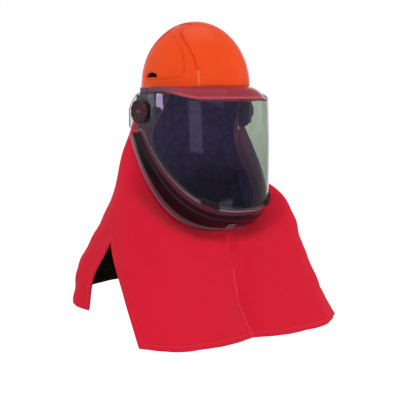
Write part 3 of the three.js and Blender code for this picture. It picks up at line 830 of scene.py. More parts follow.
@dataclass(frozen=True)
class BandedTint(Finish):
    """The chin cup's see-through plastic, in bands between the window and its outer edge."""

    name: str
    inner: Colour
    middle: Colour
    rib: Colour
    dark: Colour
    outer: Colour
    tuck: Colour
    line: Colour
    behind: Colour
    inner_to: float
    rib_at: float
    outer_from: float
    fade: float = 0.05
    dark_lead: float = 0.02
    outer_fade: float = 0.07
    rib_core: float = 0.008
    rib_edge: float = 0.03
    rib_highlight_strength: float = 0.55
    alpha: float = 0.98
    roughness: float = 0.2
    specular: float = 0.25
    coat: float = 0.15
    coat_roughness: float = 0.1
    mottle: float = 0.12
    mottle_scale: float = 14.0
    grain: float = 600.0

    def surface(self, nodes: Nodes) -> bpy.types.NodeSocket:
        """Colours by smooth steps of the mark 'band', from inner to outer, with a painted highlight line on
        the rib.

        The part behind the window, where the mark 'tuck' is one, is painted shade, near-black. The line under
        the window's edge has a colour of its own, by the mark 'line'; the inner face is painted light, by the
        mark 'behind'.

        Args:
            nodes: The material's nodes.

        Returns:
            The shader.
        """
        band = mark(nodes, "band")
        uneven = mottling(nodes, self.mottle, self.grain, self.mottle_scale)
        past_inner = nodes.step(band, self.inner_to - self.fade, self.inner_to + self.fade)
        past_rib = nodes.step(band, self.rib_at - self.dark_lead, self.rib_at + self.fade)
        past_outer = nodes.step(band, self.outer_from - self.fade, self.outer_from + self.outer_fade)
        off_rib = nodes.maths("ABSOLUTE", nodes.maths("SUBTRACT", band, self.rib_at))
        rib_highlight = nodes.maths("SUBTRACT", 1.0, nodes.step(off_rib, self.rib_core, self.rib_edge))
        base = nodes.blend(self.inner, self.middle, past_inner)
        base = nodes.blend(base, self.dark, past_rib)
        # Painted highlight along the rib
        base = nodes.blend(base, self.rib, nodes.maths("MULTIPLY", rib_highlight, self.rib_highlight_strength))
        base = nodes.blend(base, self.outer, past_outer)
        base = nodes.blend(base, self.line, mark(nodes, "line"))
        # Painted shade: the rows tucked behind the window, near-black navy like the shaded inside of the hood
        base = nodes.blend(base, self.tuck, mark(nodes, "tuck"))
        # Painted light: the inner face at the sides, seen through the window, lightened out of its shade
        base = nodes.blend(base, self.behind, mark(nodes, "behind"))
        shader = nodes.add(
            "ShaderNodeBsdfPrincipled", Base_Color=toned(nodes, base, uneven.outputs["Tone"]),
            Alpha=self.alpha, Roughness=nodes.maths("ADD", uneven.outputs["Roughness"], self.roughness),
            Specular_IOR_Level=self.specular, Coat_Weight=self.coat, Coat_Roughness=self.coat_roughness)
        return shader.outputs[0]


@dataclass(frozen=True)
class TintedWindow(Finish):
    """The clear tinted window: light passes straight through it, dimmed, and glosses off both its faces."""

    name: str
    tint: Colour
    edge_tint: Colour
    gloss: Colour = (0.66, 0.54, 1.0)
    roughness: float = 0.02
    ior: float = 1.42
    grazing: float = 0.25
    deeper_from: float = 0.45

    def surface(self, nodes: Nodes) -> bpy.types.NodeSocket:
        """Refracting gloss, deeper at grazing angles; for shadow rays a plain tinted pass-through.

        Args:
            nodes: The material's nodes.

        Returns:
            The shader.
        """
        facing = nodes.add("ShaderNodeLayerWeight", Blend=self.grazing).outputs["Facing"]
        tint = nodes.blend(self.tint, self.edge_tint, nodes.step(facing, self.deeper_from, 1.0))
        glass = nodes.add(
            "ShaderNodeBsdfPrincipled", Base_Color=tint, Roughness=self.roughness, IOR=self.ior,
            Transmission_Weight=1.0, Specular_Tint=self.gloss)
        through = nodes.add("ShaderNodeBsdfTransparent", Color=self.tint)
        rays = nodes.add("ShaderNodeLightPath")
        both = nodes.add("ShaderNodeMixShader")
        nodes.put(both.inputs[0], rays.outputs["Is Shadow Ray"])
        nodes.put(both.inputs[1], glass.outputs[0])
        nodes.put(both.inputs[2], through.outputs[0])
        return both.outputs[0]


@dataclass(frozen=True)
class WovenCloth(Finish):
    """Dyed cotton twill: weave and nap on the flat map, hem stitching, and a stitched middle seam."""

    name: str
    colour: Colour
    shade: Colour
    thread: Colour
    inner: Colour
    pitch: float = 0.0012
    depth: float = 0.3
    depth_reach: float = 0.0006
    roughness: float = 0.88
    specular: float = 0.08
    sheen: float = 0.03
    sheen_roughness: float = 0.5
    mottle: float = 0.035
    mottle_scale: float = 6.0
    grain: float = 120.0
    weave_contrast: float = 3.0
    stitch_at: float = 11.0
    stitch_width: float = 0.9
    stitch_strength: float = 0.22
    fold_at: float = 14.0
    fold_width: float = 1.2
    fold_strength: float = 0.35
    ridge_width: float = 1.5
    ridge_strength: float = 0.45
    thread_height: float = 0.8
    line_core: float = 0.4

    def surface(self, nodes: Nodes) -> bpy.types.NodeSocket:
        """Colour by broad mottling and weave, with thread lines where 'edge' or 'seam' is at its stitches.

        Args:
            nodes: The material's nodes.

        Returns:
            The shader.
        """
        flat = nodes.add("ShaderNodeUVMap", uv_map="flat").outputs[0]
        weave = nodes.group(Effects.weave(), Vector=flat, Pitch=self.pitch)
        uneven = mottling(nodes, self.mottle, self.grain, self.mottle_scale)
        edge, seam = mark(nodes, "edge"), mark(nodes, "seam")
        stitch = self.line(nodes, edge, self.stitch_at, self.stitch_width)
        fold = self.line(nodes, edge, self.fold_at, self.fold_width)
        ridge = self.line(nodes, seam, 0.0, self.ridge_width)
        hollow = nodes.maths("SUBTRACT", 1.0, weave.outputs["Shade"])
        # Painted shade in the weave's hollows
        base = nodes.blend(self.colour, self.shade, nodes.maths("MULTIPLY", hollow, self.weave_contrast))
        # Painted shade along the hem's fold
        base = nodes.blend(base, self.shade, nodes.maths("MULTIPLY", fold, self.fold_strength))
        base = nodes.blend(base, self.thread, nodes.maths("MULTIPLY", stitch, self.stitch_strength))
        base = nodes.blend(base, self.thread, nodes.maths("MULTIPLY", ridge, self.ridge_strength))
        # Painted shade and reflection: near the face opening the cloth turns mauve, as in shade under the
        # window's blue reflection
        base = nodes.blend(base, self.inner, mark(nodes, "inside"))
        thread = nodes.maths("MAXIMUM", stitch, ridge)
        height = nodes.maths("MULTIPLY_ADD", thread, self.thread_height, weave.outputs["Height"])
        bump = nodes.add("ShaderNodeBump", Strength=self.depth, Distance=self.depth_reach, Height=height)
        shader = nodes.add(
            "ShaderNodeBsdfPrincipled", Base_Color=toned(nodes, base, uneven.outputs["Tone"]),
            Roughness=self.roughness, Normal=bump.outputs[0], Sheen_Weight=self.sheen,
            Sheen_Roughness=self.sheen_roughness, Specular_IOR_Level=self.specular)
        return shader.outputs[0]

    def line(self, nodes: Nodes, distance: bpy.types.NodeSocket, at: float,
             wide: float) -> bpy.types.NodeSocket:
        """One where the distance is near at, falling smoothly to zero at wide from it."""
        off = nodes.maths("ABSOLUTE", nodes.maths("SUBTRACT", distance, at))
        return nodes.maths("SUBTRACT", 1.0, nodes.step(off, wide * self.line_core, wide))


@dataclass(frozen=True)
class PlainLining(Finish):
    """Black cloth lining: matt and creased, with painted light, a deep blue, round the head."""

    name: str
    colour: Colour
    head: Colour
    # Painted shade in crease hollows and a painted highlight on their ridges, as colour multipliers
    crease: Colour = (0.78, 0.78, 0.82)
    ridge: Colour = (1.06, 1.06, 1.06)
    creases: float = 30.0
    crease_depth: float = 0.5
    crease_reach: float = 0.006
    ridge_from: float = 0.3
    roughness: float = 0.7
    specular: float = 0.05
    mottle: float = 0.25
    mottle_scale: float = 12.0
    grain: float = 150.0

    def surface(self, nodes: Nodes) -> bpy.types.NodeSocket:
        """Near-black times mottling, with its head colour, painted light, by the mark 'head'; creases as bump
        and painted shade.

        Args:
            nodes: The material's nodes.

        Returns:
            The shader.
        """
        creases = nodes.group(Effects.crumple(), Vector=object_place(nodes), Scale=self.creases)
        uneven = mottling(nodes, self.mottle, self.grain, self.mottle_scale)
        bump = nodes.add("ShaderNodeBump", Strength=self.crease_depth, Distance=self.crease_reach,
                         Height=creases.outputs["Height"])
        # Painted shade in the creases' hollows and a painted highlight on their ridges
        ridged = nodes.step(creases.outputs["Height"], 0.0, self.ridge_from)
        shade = nodes.blend(self.crease, self.ridge, ridged)
        cloth = nodes.blend(self.colour, self.head, mark(nodes, "head"))
        base = nodes.blend(cloth, shade, 1.0, "MULTIPLY")
        shader = nodes.add(
            "ShaderNodeBsdfPrincipled", Base_Color=toned(nodes, base, uneven.outputs["Tone"]),
            Roughness=self.roughness, Normal=bump.outputs[0], Specular_IOR_Level=self.specular)
        return shader.outputs[0]


# Painted shade on the rim and peak and along the relief's edges, and a painted highlight low on the band's
# edge
HAT_ORANGE = MouldedPlastic(
    "hat_orange_gloss", (0.89, 0.074, 0.0085), roughness=0.3, specular=0.12, coat=0.08, coat_roughness=0.06,
    grain=1500, grain_depth=0.015, mottle=0.03, low_shade=(0.72, 0.06, 0.02), low_from=-0.113, low_to=-0.1,
    crease=(0.62, 0.03, 0.004), glint=(0.98, 0.24, 0.10))
# Painted shade: the hat's inside is the same orange plastic, made dark maroon for the shade within it
HAT_INSIDE_SHADE = MouldedPlastic("hat_inside_shade", (0.06, 0.012, 0.012), roughness=0.7)
# The lip colour is a painted highlight along the guard's lip
BROW_TINT = TintedPlastic(
    "brow_rose_tint", (0.36, 0.038, 0.06), lip_highlight=(0.54, 0.08, 0.125), end_colour=(0.15, 0.065, 0.085),
    alpha=0.86)
WINDOW_TINT = TintedWindow("window_green_tint", (0.56, 0.62, 0.55), edge_tint=(0.34, 0.38, 0.33))
WINDOW_EDGE = MouldedPlastic("window_cut_edge", (0.30, 0.24, 0.29), roughness=0.25, coat=0.4, mottle=0.1)
# rib is a painted highlight, tuck painted shade behind the window, and behind painted light on the inner face
CUP_TINT = BandedTint(
    "cup_maroon_tint", inner=(0.105, 0.024, 0.045), middle=(0.026, 0.006, 0.012), rib=(0.07, 0.03, 0.038),
    dark=(0.010, 0.006, 0.0085), outer=(0.15, 0.085, 0.10), tuck=(0.005, 0.004, 0.012),
    line=(0.30, 0.20, 0.26), behind=(0.50, 0.28, 0.46), inner_to=0.17, rib_at=0.36, outer_from=0.84)
# The marked colour darkens the rim band towards the front
CUP_RIM = MouldedPlastic(
    "cup_rim_grey", (0.34, 0.14, 0.175), roughness=0.32, coat=0.2, mottle=0.12, crease=(0.075, 0.028, 0.036))
CUP_PAD = MouldedPlastic("cup_pad_grey", (0.14, 0.07, 0.085), specular=0.25, coat=0.1, mottle=0.1)
SCREW_GREY = MouldedPlastic("screw_grey", (0.17, 0.11, 0.13), specular=0.25)
BRACKET_DARK = MouldedPlastic("bracket_slate", (0.13, 0.09, 0.15), roughness=0.45, mottle=0.08)
CLIP_DARK = MouldedPlastic("clip_black_brown", (0.030, 0.015, 0.021), specular=0.3, coat=0.3, mottle=0.1)
KNOB_BROWN = MouldedPlastic("knob_brown", (0.062, 0.024, 0.034), specular=0.25, coat=0.1, mottle=0.08)
PALE_PLASTIC = MouldedPlastic("pale_trim", (0.40, 0.36, 0.40), roughness=0.35)
# inner is painted shade and reflection on the cloth near the face opening
CLOTH_RED = WovenCloth(
    "cloth_red_twill", (0.68, 0.0118, 0.035), shade=(0.50, 0.008, 0.024), thread=(0.80, 0.12, 0.15),
    inner=(0.29, 0.095, 0.24))
# head is painted light round the wearer's head
LINING_BLACK = PlainLining("lining_black", (0.0085, 0.0065, 0.004), head=(0.064, 0.037, 0.165))


# The hard hat


@dataclass
class HardHat:
    """The hat's crown with its raised forms, its rim and short peak, and a vent on each side."""

    half_width: float = 110
    half_length: float = 135
    crown: float = 145
    wall: float = 3
    top: float = 40
    flange: float = 3.5
    rim_height: float = 9
    lip: float = 2
    band_rise: float = 2.4
    band_half_width: float = 71
    band_top_half_width: float = 28
    band_narrowing: float = 9
    band_fade: float = 1.7
    panel_rise: float = 1.5
    panel_half_length: float = 74
    panel_height: float = 83
    panel_above_rim: float = 30
    panel_foot: float = 18
    panel_foot_power: float = 3
    panel_roundness: float = 1.75
    panel_fade: float = 0.022
    panel_foot_fade: float = 3
    shade_line_strength: float = 0.75
    glint_strength: float = 0.8
    glint_fade: float = 5
    crease_width: float = 1.3
    glint_height: float = 38
    peak_reach: float = 17
    peak_drop: float = 13
    peak_half_angle: float = 62
    peak_fullness: float = 0.8
    peak_droop: float = 1.1
    vent_width: float = 46
    vent_height: float = 11
    vent_back: float = 18
    vent_above_rim: float = 22
    vent_squash: float = 0.75
    cut_inside: float = 40
    cut_outside: float = 20
    columns: int = 420
    climbs: int = 168
    inside_climbs: int = 24
    inside_from: float = 2
    inside_below: float = 2

    @property
    def rim_z(self) -> float:
        """The rim's height."""
        return self.top - self.crown

    def crown_point(self, turn: Array, climb: Array, stand: float = 0) -> Array:
        """A point of the crown: a half ellipsoid by turn and climb, raised at its middle band and panels.

        The band's half width is its full one times (1 - height to a power), so it narrows over the top. A
        panel is where a superellipse of the lengths back and up from its middle is under one.

        Args:
            turn: Angle from the front towards +X.
            climb: Angle from the rim to the top.
            stand: Distance out of the surface.

        Returns:
            Points, shape (..., 3).
        """
        x, y, z = np.sin(turn) * np.cos(climb), -np.cos(turn) * np.cos(climb), np.sin(climb) + 0 * turn
        band = self.band_rise * (1 - smooth(self.beyond_band(x, z), -self.band_fade, self.band_fade))
        inside, up = self.panel_measure(y, z)
        fade = self.panel_fade * np.where(up > 0, 1, self.panel_foot_fade)
        panel = (1 - smooth(inside, 1 - fade, 1 + fade)) * self.at_side(x)
        out = stand + (band + self.panel_rise * panel) * (stand >= 0)
        z = self.rim_z + z * (self.crown + out)
        return np.stack([x * (self.half_width + out), y * (self.half_length + out), z], -1)

    def beyond_band(self, x: Array, z: Array) -> Array:
        """Distance sideways past the middle band's edge, negative on it, at a unit sphere's x and z."""
        edge = np.maximum(self.band_top_half_width, self.band_half_width * (1 - z**self.band_narrowing))
        return np.abs(x) * self.half_width - edge

    def at_side(self, x: Array) -> Array:
        """Whether a unit sphere's x is far enough out for the side panels."""
        return np.abs(x) * self.half_width > self.band_half_width / 2

    def panel_measure(self, y: Array, z: Array) -> tuple[Array, Array]:
        """The side panel's superellipse: the powers of the lengths back and up from its middle, summed.

        Args:
            y: Place forward and back, on a unit sphere.
            z: Height, on a unit sphere.

        Returns:
            The sum, one on the panel's outline and less within, and the height over its middle.
        """
        back, up = np.abs(y) * self.half_length, z * self.crown - self.panel_above_rim
        spread = (back / self.panel_half_length) ** self.panel_roundness
        rise = np.where(up > 0, up / self.panel_height, up / (self.panel_above_rim - self.panel_foot))
        return spread + np.abs(rise) ** np.where(up > 0, self.panel_roundness, self.panel_foot_power), up

    def line_marks(self, turn: Array, climb: Array) -> dict[str, Array]:
        """Marks of painted shade and a painted highlight: bell curves of the distance to the relief's edges.

        Args:
            turn: Angle from the front towards +X.
            climb: Angle from the rim to the top.

        Returns:
            Values from 0 to 1. The painted highlight lies on the band's edge low down, and the painted shade
            on the rest of that edge and on the panel's.
        """
        x, y, z = np.sin(turn) * np.cos(climb), -np.cos(turn) * np.cos(climb), np.sin(climb) + 0 * turn
        band = np.exp(-((self.beyond_band(x, z) / self.crease_width) ** 2))
        inside, up = self.panel_measure(y, z)
        slope = self.panel_roundness / self.panel_height
        panel = np.exp(-(((inside - 1) / slope / self.crease_width) ** 2)) * (up > 0) * self.at_side(x)
        low = 1 - smooth(z * self.crown, self.glint_height - self.glint_fade, self.glint_height)
        front = y < 0
        return {"crease": np.maximum(band * (1 - low * front), panel) * self.shade_line_strength,
                "glint": band * low * front * self.glint_strength}

    def rim_point(self, turn: Array, out: Array, up: Array) -> Array:
        """A point beside the rim, at an outward and an upward distance from the crown's foot."""
        return np.stack([
            np.sin(turn) * (self.half_width + out), -np.cos(turn) * (self.half_length + out),
            self.rim_z + up + 0 * turn], -1)

    def build(self) -> None:
        """The shell as one grid of rings: down the outside, round the rim and peak, and up the inside."""
        turn = np.arange(self.columns) / self.columns * 2 * math.pi
        facing = np.where(turn > math.pi, turn - 2 * math.pi, turn) / math.radians(self.peak_half_angle)
        swell = np.cos(np.clip(np.abs(facing), 0, 1) * math.pi / 2) ** self.peak_fullness
        reach = np.maximum(self.flange, self.peak_reach * swell)
        share_out = np.clip((reach - self.flange) / self.peak_reach, 0, 1)
        down = -1 - self.peak_drop * share_out ** self.peak_droop
        climb = np.radians(np.linspace(90, 0, self.climbs))
        climb = climb[np.sin(climb) * self.crown > self.lip + 1][:, None]
        outside = self.crown_point(turn[None], climb)
        f, w, h = self.flange, self.wall, self.rim_height
        # Outward and upward distance from the crown's foot, from the outside round the peak to the inside
        profile = [
            (0.25, self.lip + 0.5), (0.8, self.lip), (f - 0.8, self.lip), (f - 0.2, self.lip - 0.3),
            (f, self.lip - 1), (f, -0.6), (mix(f, reach, 0.35), mix(-1, down, 0.2)),
            (mix(f, reach, 0.7), mix(-1, down, 0.58)), (reach, down), (reach, down - w * 0.5),
            (np.maximum(f, reach - 0.8), down - w), (mix(f, reach, 0.5), mix(-1, down, 0.38) - w),
            (f, -1 - w), (f, -h + 0.8), (f - 0.8, -h), (0.8 - w, -h), (-w, -h + 0.8), (-w, self.lip)]
        rim = np.stack([self.rim_point(turn, np.asarray(o, float), np.asarray(u, float)) for o, u in profile])
        inner_climb = np.radians(np.linspace(self.inside_from, 90, self.inside_climbs))
        inside = self.crown_point(turn[None], inner_climb[:, None], -self.wall)
        grid = np.concatenate([outside, rim, inside])
        rest = np.zeros((len(rim) + len(inside), self.columns))
        lines = self.line_marks(turn[None], climb)
        marks = {name: np.concatenate([values, rest]) for name, values in lines.items()}
        hat = make_object("hat", rings(grid, marks))
        self.split_inside(hat)
        cut(hat, [self.vent(side) for side in Side])
        dress(hat, (HAT_ORANGE, HAT_INSIDE_SHADE), Body.HOOD, ["hat_shell"])

    def split_inside(self, hat: bpy.types.Object) -> None:
        """Sets the second material, the inside's painted shade, on faces that look inward: those whose normal
        points to the hat's middle.

        Args:
            hat: The shell.
        """
        count = len(hat.data.polygons)
        centre, normal = np.empty(count * 3), np.empty(count * 3)
        hat.data.polygons.foreach_get("center", centre)
        hat.data.polygons.foreach_get("normal", normal)
        centre, normal = centre.reshape(-1, 3), normal.reshape(-1, 3)
        middle = np.array([0, 0, self.rim_z * MM])
        inward = ((centre - middle) * normal).sum(-1) < 0
        inward &= centre[:, 2] > (self.rim_z - self.inside_below) * MM
        hat.data.polygons.foreach_set("material_index", inward.astype(np.int32))

    def vent(self, side: Side) -> bpy.types.Object:
        """The cutter of a vent: a flat-bottomed half ellipse with soft corners, carried through the wall.

        Args:
            side: The side that it cuts.

        Returns:
            The solid.
        """
        angle = np.linspace(0, math.pi, 25)
        squash = np.abs(np.sin(angle)) ** self.vent_squash
        arch = np.stack([np.cos(angle) * self.vent_width / 2, squash * self.vent_height], -1)
        outline = arch + np.array([self.vent_back * side.value, self.vent_above_rim + self.rim_z])
        low, high = self.half_width - self.cut_inside, self.half_width + self.cut_outside
        return prism("vent_cutter", outline, side.axes, low, high)


# The visor


@dataclass
class Window:
    """The curved window and the shapes that its neighbours take from it."""

    hat: HardHat
    half_width: float = 150
    reach: float = 182
    wall: float = 2
    bulge: float = 0.036
    bulge_power: float = 0.25
    top_drop: float = 26
    bottom_drop: float = 263
    lower_power: float = 1.5
    upper_step: tuple[float, float] = (0.7, 1.25)
    ear_drop: float = 91
    ear_back: float = 45
    ear_top_drop: float = 11
    ear_top_fall: float = 36
    ear_top_power: float = 2.2
    ear_fall: float = 7
    ear_corner_rise: float = 14
    ear_corner_power: float = 4
    pivot_drop: float = 52
    hole_radius: float = 6.4
    hole_points: int = 32
    cut_reach: float = 15
    columns: int = 200
    rows: int = 60

    @property
    def pivot_z(self) -> float:
        """The height of the hinge."""
        return self.hat.rim_z - self.pivot_drop

    @property
    def last_turn(self) -> float:
        """The turn at which the ears end."""
        return math.pi / 2 + self.ear_back / self.half_width

    def plan(self, turn: Array, half_width: float, reach: Array, out: Array = 0.0) -> Array:
        """A plan point: half an ellipse ahead of the hinge, then straight back.

        Args:
            turn: Angle from the front towards +X.
            half_width: Half the ellipse's width.
            reach: How far the ellipse comes forward.
            out: Distance out along its normal.

        Returns:
            Points, shape (..., 2).
        """
        side = np.where(turn < 0, -1.0, 1.0)
        past = np.abs(turn) - math.pi / 2
        normal = unit(np.stack([np.sin(turn) / half_width, -np.cos(turn) / reach + 0 * turn], -1))
        front = np.stack([np.sin(turn) * half_width + 0 * reach, -np.cos(turn) * reach], -1)
        front = front + normal * np.asarray(out)[..., None]
        straight = np.stack(np.broadcast_arrays(side * (half_width + out), past * self.half_width), -1)
        return np.where((past > 0)[..., None], straight, front)

    def ahead(self, turn: Array) -> Array:
        """The turn's size, held at the hinge."""
        return np.minimum(np.abs(turn), math.pi / 2)

    def past(self, turn: Array) -> Array:
        """How far past the hinge, as a share of the ears."""
        return np.maximum(0, np.abs(turn) - math.pi / 2) * self.half_width / self.ear_back

    def lower(self, turn: Array) -> Array:
        """Height of the lower edge: climbs from the front as a power of (1 - cosine), rounded at the ears.

        Args:
            turn: Angle from the front towards +X.

        Returns:
            Heights, shaped like turn.
        """
        climb = (1 - np.cos(self.ahead(turn))) ** self.lower_power
        corner = self.ear_corner_rise * self.past(turn) ** self.ear_corner_power
        ear = corner - self.ear_fall * self.past(turn)
        return self.hat.rim_z - self.bottom_drop + (self.bottom_drop - self.ear_drop) * climb + ear

    def upper(self, turn: Array) -> Array:
        """Height of the upper edge: level in front, up by a smooth step at the sides, rounded at the ears.

        Args:
            turn: Angle from the front towards +X.

        Returns:
            Heights, shaped like turn.
        """
        step = (self.ear_top_drop - self.top_drop) * smooth(np.abs(turn), *self.upper_step)
        corner = self.ear_top_fall * self.past(turn) ** self.ear_top_power
        return self.hat.rim_z - self.top_drop - step - corner

    def point(self, turn: Array, z: Array, out: Array = 0.0) -> Array:
        """A point of the outer face, whose reach swells by a parabola in the height.

        Args:
            turn: Angle from the front towards +X.
            z: Height.
            out: Distance out of the face.

        Returns:
            Points, shape (..., 3).
        """
        middle = self.hat.rim_z - (self.top_drop + self.bottom_drop) / 2
        high = (z - middle) / (self.hat.rim_z - self.top_drop - middle)
        level = np.cos(self.ahead(turn)) ** self.bulge_power
        swell = 1 + self.bulge * np.maximum(0, 1 - high * high) * level
        plan = self.plan(turn + 0 * z, self.half_width, self.reach * swell, out)
        return np.concatenate([plan, (z + 0 * turn)[..., None]], -1)

    def build(self) -> bpy.types.Object:
        """The window as a wall on its grid, its stem holes cut and its rim faces in a finish of their own.

        Returns:
            The piece.
        """
        turn = np.linspace(-self.last_turn, self.last_turn, self.columns)
        share = np.linspace(0, 1, self.rows)[:, None]
        z = mix(self.upper(turn), self.lower(turn), share)
        pane = make_object("window_pane", wall(self.point(turn[None] + 0 * z, z), 0, -self.wall))
        ring = np.linspace(0, 2 * math.pi, self.hole_points + 1)[:-1]
        hole = np.stack([np.cos(ring), np.sin(ring)], -1) * self.hole_radius + np.array([0, self.pivot_z])
        low, high = self.half_width - self.cut_reach, self.half_width + self.cut_reach
        cut(pane, [
            prism("stem_cutter", hole * np.array([side.value, 1]), side.axes, low, high) for side in Side])
        dress(pane, (WINDOW_TINT, WINDOW_EDGE), Body.VISOR, ["lens"])
        return pane


@dataclass
class BrowGuard:
    """The see-through guard between the hat's rim and the top of the window."""

    hat: HardHat
    window: Window
    wall: float = 2.2
    side_inset: float = 7
    front_inset: float = 1.2
    fit: float = 1.6
    over_window: float = 3
    arch: float = 4
    lip: float = 7
    lip_falls: tuple[float, ...] = (0.06, 0.2, 0.45, 0.7, 0.85, 1)
    lip_swell: float = 0.8
    lip_highlight_rows: int = 2
    end_step: tuple[float, float] = (0.95, 1.3)
    softness: float = 0.5
    half_angle: float = 88
    columns: int = 160
    rows: int = 20

    def build(self) -> None:
        """A grid from the rim out to the window, arched by a half sine, then down round a lip."""
        turn = np.radians(np.linspace(-self.half_angle, self.half_angle, self.columns))
        inner = self.hat.rim_point(turn, self.hat.flange + self.fit, self.hat.lip)
        inset = self.window.wall
        plan = self.window.plan(
            turn, self.window.half_width - inset - self.side_inset,
            self.window.reach - inset - self.front_inset + 0 * turn)
        outer = np.concatenate([plan, (self.window.upper(turn) + self.over_window)[:, None]], -1)
        share = np.linspace(0, 1, self.rows)[:, None, None]
        top = mix(inner[None], outer[None], share)
        top[..., 2] += self.arch * np.sin(math.pi * share[..., 0])
        outward = unit(np.concatenate([np.sin(turn)[:, None], -np.cos(turn)[:, None], 0 * turn[:, None]], -1))
        fall = np.array(self.lip_falls)[:, None, None]
        swell = outward * self.lip_swell * np.sin(fall * math.pi)
        lip = outer[None] - fall * np.array([0, 0, self.lip]) + swell
        rows = np.concatenate([top[:-1], outer[None], lip])
        # Painted highlight on the lip and the last rows before it
        lip_highlight_mark = np.zeros(rows.shape[:2])
        lip_highlight_mark[len(top) - self.lip_highlight_rows:] = 1
        end_mark = np.broadcast_to(smooth(np.abs(turn), *self.end_step), lip_highlight_mark.shape)
        guard = make_object("brow_guard_skin", wall(rows, 0, -self.wall, {"lip": lip_highlight_mark, "end": end_mark}))
        soften(guard, self.softness)
        dress(guard, (BROW_TINT, WINDOW_EDGE), Body.HOOD, ["brow_guard"])


@dataclass
class ChinCup:
    """The cup below the window, its rim band, its pad and the two ribbed clips."""

    window: Window
    wall: float = 2.4
    fit: float = 0.7
    tuck: float = 9
    flare: float = 1
    reach: float = 153.5
    centre_back: float = 31
    bottom_drop: float = 312
    rim_rise: float = 182
    rim_power: float = 1.68
    rib_rise: float = 2.2
    rib_share: float = 0.36
    rib_slope: tuple[float, float] = (0.012, 0.05)
    belly: float = 7
    belly_power: float = 0.5
    band_height: float = 8
    band_wall: float = 3.2
    band_squareness: float = 0.6
    gap: float = 0.3
    softness: float = 0.4
    pad_side: float = 20
    pad_thickness: float = 3
    pad_turn: float = -8
    pad_shares: tuple[float, float] = (0.48, 0.7)
    pad_softness: float = 0.8
    pad_points: int = 14
    last_turn: float = 95
    columns: int = 200
    rows: int = 46
    tuck_rows: int = 6
    hidden_rows: int = 3
    line_to: float = 0.04
    inside_light_step: tuple[float, float] = (0.4, 0.9)
    front_dark_step: tuple[float, float] = (0.45, 0.95)

    def edge(self, turn: Array) -> Array:
        """The outer edge: an ellipse in plan whose height climbs as (1 - cosine) to a power."""
        half = self.window.half_width + self.flare
        z = self.window.hat.rim_z - self.bottom_drop + self.rim_rise * (1 - np.cos(turn)) ** self.rim_power
        return np.stack([np.sin(turn) * half, self.centre_back - np.cos(turn) * self.reach, z], -1)

    def start(self, turn: Array, up: float = -2) -> Array:
        """The line behind the window's lower edge, up above it by a distance."""
        return self.window.point(turn, self.window.lower(turn) + up, -self.window.wall - self.fit)

    def length(self, turn: Array) -> Array:
        """The straight distance from the start line to the outer edge."""
        return np.linalg.norm(self.edge(turn) - self.start(turn), axis=-1)

    def band_start(self, turn: Array) -> Array:
        """The share at which the rim band begins."""
        return 1 - self.band_height / self.length(turn)

    def shell_share(self, turn: Array) -> Array:
        """The share at which the cup's own wall ends, two gaps short of the band."""
        return self.band_start(turn) - 2 * self.gap / self.length(turn)

    def point(self, turn: Array, share: Array, stand: Array = 0.0) -> Array:
        """A point between the start line and the edge, bellied out by a half sine, with the rib on it.

        Args:
            turn: Angle from the front towards +X.
            share: Way down from the start line (0) to the edge (1).
            stand: Distance out of the surface.

        Returns:
            Points, shape (..., 3).
        """
        start, edge = self.start(turn), self.edge(turn)
        down = edge - start
        sideways = np.stack([np.cos(turn), np.sin(turn), 0 * turn], -1)
        normal = -unit(np.cross(sideways, down))
        belly = self.belly * np.sin(math.pi * share) * np.cos(self.window.ahead(turn)) ** self.belly_power
        off_rib = np.abs(share / self.shell_share(turn) - self.rib_share)
        rib = self.rib_rise * (1 - smooth(off_rib, *self.rib_slope))
        return start + down * share[..., None] + normal * (belly + rib + stand)[..., None]

    def build(self) -> None:
        """The cup, its band, its pad and its clips."""
        turn = np.radians(np.linspace(-self.last_turn, self.last_turn, self.columns))
        share = np.linspace(0, 1, self.rows)
        body = self.point(turn[None] + 0 * share[:, None], share[:, None] * self.shell_share(turn))
        tuck = np.stack([self.start(turn, up) for up in np.linspace(self.tuck, -1, self.tuck_rows)])
        hidden, bare = self.hidden_rows, self.tuck_rows - self.hidden_rows
        down = {
            "band": np.append(np.zeros(self.tuck_rows), share),
            "tuck": np.repeat([1.0, 0.0], [hidden, bare + self.rows]),
            "line": np.append(np.repeat([0.0, 1.0], [hidden, bare]), 1 - smooth(share, 0, self.line_to))}
        marks = {name: np.tile(values[:, None], self.columns) for name, values in down.items()}
        shell = wall(np.concatenate([tuck, body]), 0, -self.wall, marks)
        # Painted light on the inner face at the sides
        aside = np.tile(smooth(np.abs(turn), *self.inside_light_step), self.tuck_rows + self.rows)
        shell.marks["behind"] = np.concatenate([0 * aside, aside])
        cup = make_object("chin_cup_shell", shell)
        soften(cup, self.softness)
        dress(cup, (CUP_TINT, CUP_TINT), Body.VISOR, ["chin_cup"])
        self.build_band(turn)
        self.build_pad()
        for side in Side:
            Clip(self.window, side).build()

    def build_band(self, turn: Array) -> None:
        """The rim band: a rounded strip, thicker than the cup, from where the cup ends to its outer edge.

        Args:
            turn: Angles from the front at which the strip has a ring.
        """
        angle = np.linspace(0, 2 * math.pi, 25)[:-1]
        cosine = np.sign(np.cos(angle)) * np.abs(np.cos(angle)) ** self.band_squareness
        sine = np.sign(np.sin(angle)) * np.abs(np.sin(angle)) ** self.band_squareness
        across = sine * self.band_wall / 2 - self.wall / 2
        share = mix(self.band_start(turn)[:, None], 1.0, 0.5 + 0.5 * cosine[None])
        grid = self.point(turn[:, None] + 0 * share, share, across[None] + 0 * share)
        middle = grid.mean(1, keepdims=True)
        first = np.repeat(middle[:1], len(angle), 1)
        last = np.repeat(middle[-1:], len(angle), 1)
        ends = np.abs(np.concatenate([turn[:1], turn, turn[-1:]])[::-1])
